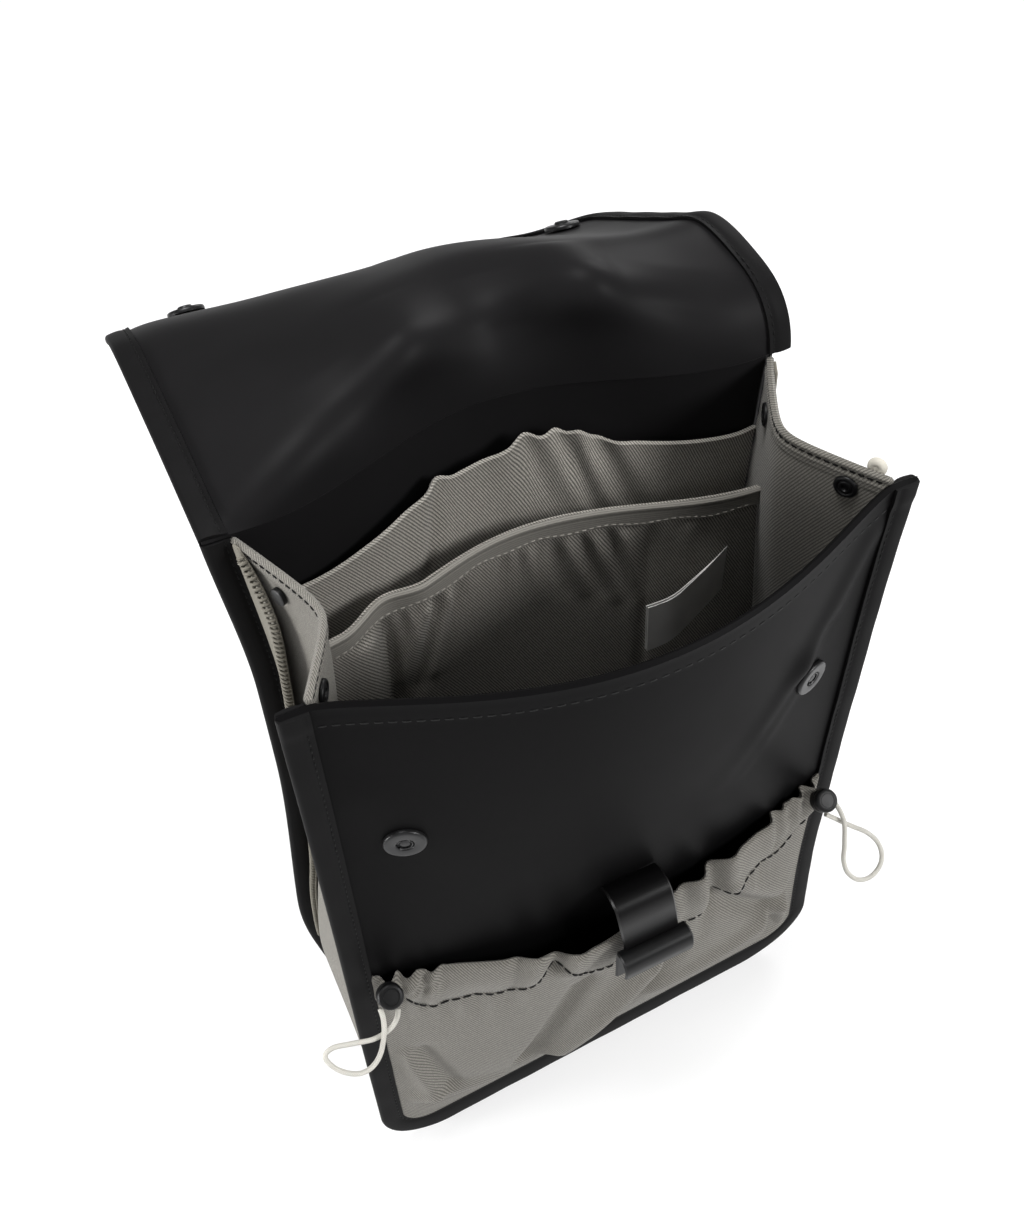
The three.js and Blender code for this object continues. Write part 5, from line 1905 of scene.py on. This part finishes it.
    def trim(self) -> None:
        """Builds the elastic trim along the organiser's mouth, and its stitches."""
        offset = BAG.cloth + BAG.gap
        trim = Cloth(self.organiser_form, 1, (), lambda a, b: offset + 0.25 * np.sin(a / 11.0))
        rows = np.linspace(self.organiser_top - self.trim_width, self.organiser_top, 14)
        x, z = self.grid(rows, 161, self.organiser_edge, self.organiser_clear)
        below = self.organiser_top - z
        lower = 0.7 * np.sin(x / 5.0) * smooth((below - 6) / 4)
        cord = 1.5 * bell(below - 1.2, 1.1) - 0.5 * bell(below - 3.1, 0.6)
        build = Build().sheet(trim, x, z + lower, BAG.cloth + cord)
        cut = (2 * self.gusset.half - self.trim_short, self.trim_width + 1)
        publish_cloth(build, "organiser_trim", "tape", ELASTIC, cut)
        line = np.linspace(x[0, 3], x[0, -4], 260)
        height = self.organiser_top - self.trim_width + 1.2 + 0.7 * np.sin(line / 5.0)
        stitches = Build()
        self.trim_stitch.sew(stitches, trim, line, height, BAG.cloth / 2)
        publish(stitches, "organiser_trim_stitches", PALE_THREAD)

    def label(self) -> None:
        """Builds the blank label: two leaves sewn in at the right."""
        def leaf(stand: float, curl: float) -> Cloth:
            """One leaf of the label, whose free end hangs.

            Args:
                stand: How far it stands off at its free end.
                curl: How far that end sinks.

            Returns:
                The leaf.
            """
            def form(x: Array, z: Array) -> Array:
                """The leaf's surface."""
                points = self.organiser_form(x, z)
                free = self.label_right - x
                past = np.log1p(np.exp((free - self.label_turn) / 2.5)) * 2.5
                hung = free - (1 - self.label_face) * past
                points[..., 1] -= BAG.cloth + BAG.gap + self.label_lean * hung
                points[..., 1] -= stand * smooth(free / self.label_width)
                points[..., 2] -= curl * smooth(free / self.label_width - 0.45)
                return points
            return Cloth(form)
        heights = np.linspace(self.label_bottom, self.label_bottom + self.label_height, 24)
        x, z = np.meshgrid(np.linspace(self.label_right - self.label_width, self.label_right, 22), heights)
        build = Build()
        for stand, curl in self.label_leaves:
            build.sheet(leaf(stand, curl), x, z, self.label_thick)
        cut = (2 * self.label_width, self.label_height)
        publish_cloth(build, "care_label", "leaves", LABEL, cut)

    def build(self) -> None:
        """Builds the pockets, the trim and the label."""
        self.sleeve()
        self.organiser()
        self.trim()
        self.label()


@dataclass
class Fastenings:
    """The press studs of the lid, the closure strap with its hook, and the pale zip end."""

    gusset: Gusset
    flap: Flap
    snap_radius: float = 9.0
    snap_z: float = 299.0
    flap_reach: float = 181.0
    hook_x: float = 4.0
    hook_width: float = 36.0
    strap_width: float = 28.0
    strap_length: float = 56.0
    strap_lean: float = 3.5
    thick: float = 2.0
    snaps: tuple[tuple[Side, float, float], ...] = ((Side.LEFT, -98.5, -95.0), (Side.RIGHT, 94.0, 104.0))
    closure_line: Rows = (
        (-64.6, 214), (-69.8, 216), (-75.6, 215.5), (-79.6, 212), (-81.7, 206), (-82.2, 195),
        (-82.2, 182.7),
    )
    hook_line: Rows = (
        (-82.2, 159), (-82.2, 179), (-83.6, 181.4), (-86.4, 181.8), (-89.6, 180), (-90.9, 176),
        (-90.4, 170.5),
    )
    end_width: float = 8.0
    end_height: float = 17.0
    end_thick: float = 2.4
    end_hole: float = 2.6
    end_ring: float = 2.3
    end_bead: float = 1.9
    end_tuck: float = 8.0
    end_share: float = 0.07
    end_drop: float = 3.5
    end_stem: Pair = (2.1, 1.8)
    spring_radius: float = 3.0
    spring_wire: float = 0.38
    spring_gap: float = 0.7

    def press_studs(self) -> None:
        """Builds the sockets on the front and the studs on the lid."""
        r = self.snap_radius
        socket = (
            (0, 0), (r, 0), (r, 1.1), (r - 0.25, 1.6), (r - 0.8, 1.95), (r - 1.5, 2.0), (4.4, 2.0),
            (4.0, 1.9), (3.7, 1.5), (3.6, 0.7), (2.5, 0.6), (2.3, 0.9), (2.1, 1.3), (1.5, 1.5), (0, 1.5),
        )
        stud = (
            (0, 0), (r, 0), (r, 1.2), (r - 0.3, 1.9), (r - 0.9, 2.2), (4.2, 2.2), (3.7, 2.4), (3.5, 2.9),
            (3.4, 3.3), (2.9, 3.6), (0, 3.7),
        )
        seat = BAG.coated / 2 + 2 * BAG.gap
        front, lid = Cloth(BAG.front), Cloth(self.flap.form)
        spring = np.linspace(self.spring_gap, 2 * np.pi - self.spring_gap, 40)[:, None]
        for side, x, flap_x in self.snaps:
            place = np.array(x), np.array(self.snap_z)
            axis = front.facing(*place)
            across = unit(np.cross(axis, [0, 0, 1.0]))
            around = np.cos(spring) * across + np.sin(spring) * np.cross(across, axis)
            ring = front.at(*place, seat + 1.5) + self.spring_radius * around
            build = Build().turned(socket, 56, front.at(*place, seat), axis)
            build.rings(tube_rings(ring, self.spring_wire, 8))
            publish(build, f"front_snap_{side.word}_socket", METAL, f"front_snap_{side.word}")
            place = np.array(flap_x), np.array(self.flap_reach)
            build = Build().turned(stud, 56, lid.at(*place, seat + BAG.gap), lid.facing(*place))
            publish(build, f"flap_snap_{side.word}_stud", METAL, f"flap_snap_{side.word}")

    def bent_strip(self, line: Rows, width: float) -> Build:
        """A strip of even thickness bent along a line in the YZ plane.

        Args:
            line: Rows of depth and height along its middle.
            width: Its width across.

        Returns:
            The strip.
        """
        path = spline(np.asarray(line, float), 70)
        along = unit(np.gradient(path, axis=0))
        normal = stack(-along[:, 1], along[:, 0])
        share = np.linspace(-1, 1, 31)
        leaning = -self.strap_lean * smooth((path[:, 1] - self.hook_line[1][1]) / 34)
        x = self.hook_x + share * width / 2 + leaning[:, None]
        sides = []
        for face in (1, -1):
            depth = path + normal * (face * self.thick / 2)
            sides.append(BAG.stand(stack(x, depth[:, :1], depth[:, 1:])))
        return Build().shell(*sides, stack(share * width / 2, run_along(path)[:, None]))

    def closure(self) -> None:
        """Builds the short strap out of the pocket and the flat hook on it."""
        build = self.bent_strip(self.closure_line, self.strap_width)
        cut = (self.strap_width, self.strap_length)
        publish_cloth(build, "closure_strap", "cloth", SATIN, cut)
        build = self.bent_strip(self.hook_line, self.hook_width)
        publish(build, "closure_hook_moulding", PLASTIC, "closure_hook")

    def zip_end(self) -> None:
        """Builds the pale zip end that stands at the top of the right side."""
        run = np.array(float(self.gusset.run(Side.RIGHT, self.gusset.top - self.end_tuck)))
        foot = self.gusset.form(run, np.array(self.end_share))
        ahead = self.gusset.form(run, np.array(self.end_share + self.gusset.seam_share)) - foot
        ahead[2] = 0
        along = unit(ahead)
        up = np.array([0.0, 0.0, 1.0])
        out = np.cross(along, up)
        half = self.end_width / 2
        foot = foot + out * (BAG.cloth / 2 + 2 * BAG.gap + self.end_thick / 2)
        line = [foot + up * t for t in np.linspace(0, self.end_height - half - self.end_hole, 12)]
        middle = foot + up * (self.end_height - half - self.end_drop)
        turns = np.linspace(-np.pi / 2, 1.5 * np.pi, 41)
        loop = [middle + self.end_ring * (np.cos(t) * along + np.sin(t) * up) for t in turns]
        build = Build().rings(tube_rings(BAG.stand(np.array(line)), np.linspace(*self.end_stem, 12), 12))
        build.rings(tube_rings(BAG.stand(np.array(loop)), self.end_bead, 14))
        publish(build, "zip_end_right_tab", BEAD, "zip_end_right")

    def build(self) -> None:
        """Builds all the fastenings."""
        self.press_studs()
        self.closure()
        self.zip_end()


@dataclass
class CordEnds:
    """The cord locks at the ends of the pocket's mouth and the free loops of cord below them."""

    diameter: float = 2.4
    sides: int = 14
    lock_radius: float = 6.0
    lock_length: float = 9.0
    facing: Point = (0.0, -0.62, 0.785)
    left_lock: Point = (-118.3, -59.7, 193.3)
    right_lock: Point = (116.2, -56.7, 189.0)
    left_loop: Rows = (
        (-124.2, -62.2, 190.1), (-124.6, -66.4, 187.2), (-126.7, -70.9, 182.5), (-131.0, -75.8, 176.6),
        (-136.4, -78.3, 173.3), (-142.3, -78.3, 172.5), (-148.3, -76.0, 175.0), (-152.6, -72.4, 178.7),
        (-154.0, -68.6, 182.6), (-149.5, -67.2, 184.1), (-140.6, -68.3, 182.1), (-131.2, -69.3, 179.6),
        (-123.0, -68.5, 180.4), (-118.5, -66.5, 183.6), (-116.6, -64.5, 188.2),
    )
    right_loop: Rows = (
        (122.2, -59.0, 185.9), (123.1, -63.3, 183.0), (123.1, -67.9, 178.3), (119.9, -74.7, 170.7),
        (117.3, -79.2, 165.1), (117.6, -83.7, 159.5), (121.9, -87.7, 155.4), (128.7, -88.7, 154.3),
        (135.2, -86.8, 156.4), (138.7, -83.2, 160.1), (138.5, -78.2, 165.3), (134.8, -73.1, 169.6),
        (128.8, -68.7, 173.1), (124.3, -65.7, 176.0), (120.0, -63.2, 179.4), (115.2, -61.6, 183.9),
    )

    def loop(self, side: Side, lock: bpy.types.Object) -> None:
        """Args:
            side: The loop's side.
            lock: The cord lock at the loop's end; not used.
        """
        route = self.left_loop if side is Side.LEFT else self.right_loop
        line = spline(np.array(route), 150)
        run = run_along(line)
        around = np.linspace(0, np.pi * self.diameter, self.sides, endpoint=False)
        build = Build().rings(tube_rings(line, self.diameter / 2, self.sides), stack(around, run[:, None]))
        piece = publish(build, f"cord_loop_{side.word}_braid", CORD, f"cord_loop_{side.word}")

    def lock(self, side: Side) -> bpy.types.Object:
        """Builds one round cord lock with its pressed end.

        Args:
            side: The lock's side.

        Returns:
            The lock.
        """
        r, half = self.lock_radius, self.lock_length / 2
        profile = (
            (0, -half), (r - 1.8, -half), (r - 0.7, -half + 0.5), (r - 0.15, -half + 1.3), (r, -half + 2.0),
            (r, 0.5), (r - 0.3, 0.7), (r - 0.3, 1.2), (r, 1.4), (r, half - 1.3), (r - 0.25, half - 0.55),
            (r - 0.8, half - 0.1), (r - 1.3, half + 0.1), (r - 2.0, half + 0.15), (r - 2.2, half - 0.05),
            (r - 2.5, half - 0.05), (r - 2.7, half + 0.15), (0, half + 0.3),
        )
        middle = self.left_lock if side is Side.LEFT else self.right_lock
        build = Build().turned(profile, 44, np.array(middle), np.array(self.facing))
        return publish(build, f"cord_lock_{side.word}_moulding", PLASTIC, f"cord_lock_{side.word}")

    def build(self) -> None:
        """Builds both cord ends."""
        for side in Side:
            self.loop(side, self.lock(side))


@dataclass
class ShoulderStraps:
    """The padded straps on the back, each with a web down to the lower corner."""

    width: float = 46.0
    thick: float = 8.0
    web_width: float = 22.0
    web_thick: float = 1.8
    rim: float = 2.6
    length: float = 230.0
    fill: float = 0.7
    seam_inset: float = 6.0
    seam_depth: float = 0.34
    seam_stitch: Seam = Seam(4.2, 3.1, 0.6)
    web_length: float = 95.0
    web_stitch: Seam = Seam(3.2, 2.4, 0.7)
    web_seams: tuple[float, ...] = (0.83, 0.87, 0.95, 0.98)
    strap_route: Rows = (
        (0, 52, 380, 4.8), (0.25, 56, 330, 24), (0.5, 64, 275, 33), (0.75, 74, 218, 28),
        (1, 84, 165, 18),
    )
    web_route: Rows = (
        (0, 84.5, 164, 18), (0.5, 95, 122, 10), (1, 106, 76, 1.4),
    )

    def form(self, route: Rows, side: Side) -> Form:
        """The middle surface of a strap.

        Args:
            route: Rows of the share of the way down, the place across, the height and the distance off.
            side: The strap's side.

        Returns:
            The surface, at distances across it and shares of the way down.
        """
        def surface(across: Array, along: Array) -> Array:
            """The strap's surface."""
            line = curve(route, along, 1)
            z = curve(route, along, 2)
            x = side.value * (line + across)
            near = smooth(along * 4)
            y = mix(BAG.back(x, z)[..., 1], BAG.back(side.value * line, z)[..., 1], near)
            return stack(x, y + BAG.coated / 2 + curve(route, along, 3), z)
        return surface

    def pad(self, side: Side) -> None:
        """Builds one padded strap with its sewn edge.

        Args:
            side: The strap's side.
        """
        cloth = Cloth(self.form(self.strap_route, side), side.value)
        half = self.width / 2
        across = half * np.sin(np.linspace(-np.pi / 2, np.pi / 2, 41))
        s, a = np.meshgrid(np.linspace(0, 1, 130), across, indexing="ij")
        ends = smooth(np.minimum(s, 1 - s) / 0.035)
        crown = np.sqrt(np.maximum(0, 1 - (np.abs(a) / half) ** 6)) * mix(0.5, 1, ends)
        channel = 1 - self.seam_depth * bell(half - np.abs(a) - self.seam_inset, 1.6)
        quilt = 0.35 * np.sin(s * 60.0) * np.sin(np.pi * (a / half))
        soft = self.thick - self.rim
        thick = self.rim + soft * crown * channel + quilt * crown
        build = Build().sheet(cloth, a, s, thick, stack(a, s * self.length))
        node = f"shoulder_strap_{side.word}"
        publish(build, f"{node}_pad", COATED_PAINTED_LIGHTER, node)
        stitches = Build()
        line = np.linspace(0.02, 0.98, 220)
        lift = (self.rim + soft * (1 - self.seam_depth)) / 2
        for edge in (-1, 1):
            place = np.full_like(line, edge * (half - self.seam_inset))
            for face in (1, -1):
                self.seam_stitch.sew(stitches, cloth, place, line, face * lift)
        publish(stitches, f"{node}_stitches", BLACK_THREAD)

    def web(self, side: Side) -> None:
        """Builds the flat web below one strap.

        Args:
            side: The strap's side.
        """
        cloth = Cloth(self.form(self.web_route, side), side.value)
        half = self.web_width / 2
        s, a = np.meshgrid(np.linspace(0, 1, 60), np.linspace(-half, half, 15), indexing="ij")
        build = Build().sheet(cloth, a, s, self.web_thick, stack(a, s * self.web_length))
        node, cut = f"strap_webbing_{side.word}", (self.web_width, self.web_length)
        publish_cloth(build, node, "web", WEBBING, cut)
        stitches = Build()
        row = np.linspace(-half + 2, half - 2, 24)
        for share in self.web_seams:
            self.web_stitch.sew(stitches, cloth, row, np.full_like(row, share), self.web_thick / 2)
        publish(stitches, f"{node}_stitches", BLACK_THREAD)

    def build(self) -> None:
        """Builds both straps and webs."""
        for side in Side:
            self.pad(side)
            self.web(side)


@dataclass
class Studio:
    """The pale floor, the soft lights and the camera."""

    eye: Point = (-172.3, -338.1, 758.5)
    right: Point = (0.902677, -0.429410, -0.027954)
    up: Point = (0.337884, 0.667053, 0.663984)
    forward: Point = (0.266474, 0.608808, -0.747224)
    focal_pixels: float = 1348.0
    picture: tuple[int, int] = (1024, 1229)
    sensor: float = 36.0
    floor_size: float = 9.0
    floor_drop: float = 0.0004
    floor_tones: tuple[Colour, Colour] = ((0.415, 0.415, 0.42), (0.43, 0.43, 0.43))
    floor_glow: float = 0.6
    world: float = 0.28
    aim: Point = (0.0, 0.05, 0.2)
    lights: tuple[tuple[str, Point, float, float], ...] = (
        ("key", (0.95, -1.15, 1.1), 0.6, 23.0),
        ("fill", (-0.75, -1.5, 0.85), 1.2, 3.0),
        ("overhead", (-0.25, 0.2, 2.2), 0.9, 42.0),
        ("left_side", (-1.5, 0.15, 0.24), 0.8, 27.0),
        ("back", (1.5, 1.3, 1.3), 1.2, 20.0),
    )

    def camera(self) -> None:
        """Sets the camera at the photograph's view."""
        data = bpy.data.cameras.new("view")
        data.sensor_width = self.sensor
        data.lens = data.sensor_width * self.focal_pixels / max(self.picture)
        data.clip_start = 0.01
        camera = bpy.data.objects.new("view", data)
        bpy.context.scene.collection.objects.link(camera)
        axes = Matrix((self.right, self.up, tuple(-c for c in self.forward))).transposed().to_4x4()
        camera.matrix_world = Matrix.Translation(Vector(self.eye) * MM) @ axes
        bpy.context.scene.camera = camera

    def floor(self) -> None:
        """Lays a pale floor that shades softly under the bag."""
        half = self.floor_size / 2
        mesh = bpy.data.meshes.new("floor")
        corners = [(-half, -half, 0), (half, -half, 0), (half, half, 0), (-half, half, 0)]
        mesh.from_pydata(corners, [], [(0, 1, 2, 3)])
        floor = bpy.data.objects.new("floor", mesh)
        floor.location.z = -self.floor_drop
        bpy.context.scene.collection.objects.link(floor)
        shade = Shade("studio_floor")
        mesh.materials.append(shade.close({
            "Base Color": shade.blend(shade.noise(400.0, 1.0), *self.floor_tones),
            "Roughness": 0.95,
            "Specular IOR Level": 0.0,
            "Emission Color": (1.0, 1.0, 1.0, 1.0),
            "Emission Strength": self.floor_glow,
        }))

    def light(self) -> None:
        """Hangs the soft boxes and sets the room's own light."""
        for name, place, size, power in self.lights:
            data = bpy.data.lights.new(name, "AREA")
            data.shape = "DISK"
            data.size = size
            data.energy = power
            lamp = bpy.data.objects.new(name, data)
            lamp.location = place
            lamp.rotation_mode = "QUATERNION"
            lamp.rotation_quaternion = (Vector(self.aim) - Vector(place)).to_track_quat("-Z", "Y")
            bpy.context.scene.collection.objects.link(lamp)
        world = bpy.data.worlds.new("room")
        world.use_nodes = True
        sky = world.node_tree.nodes["Background"]
        sky.inputs["Color"].default_value = (1.0, 1.0, 1.0, 1.0)
        sky.inputs["Strength"].default_value = self.world
        bpy.context.scene.world = world
        bpy.context.scene.view_settings.view_transform = "Standard"

    def build(self) -> None:
        """Sets up the studio."""
        self.camera()
        self.floor()
        self.light()


def main() -> None:
    """Builds the studio, the cords and then every other sub-assembly."""
    logging.basicConfig(level=logging.INFO, format="%(name)s: %(message)s")
    gusset, flap = Gusset(), Flap()
    assemblies = (
        Studio(),
        CordEnds(),
        Panels(),
        gusset,
        flap,
        FrontPocket(),
        InsidePockets(gusset),
        Fastenings(gusset, flap),
        ShoulderStraps(),
    )
    for assembly in assemblies:
        LOG.info("building %s", type(assembly).__name__)
        assembly.build()


if __name__ == "__main__":
    main()
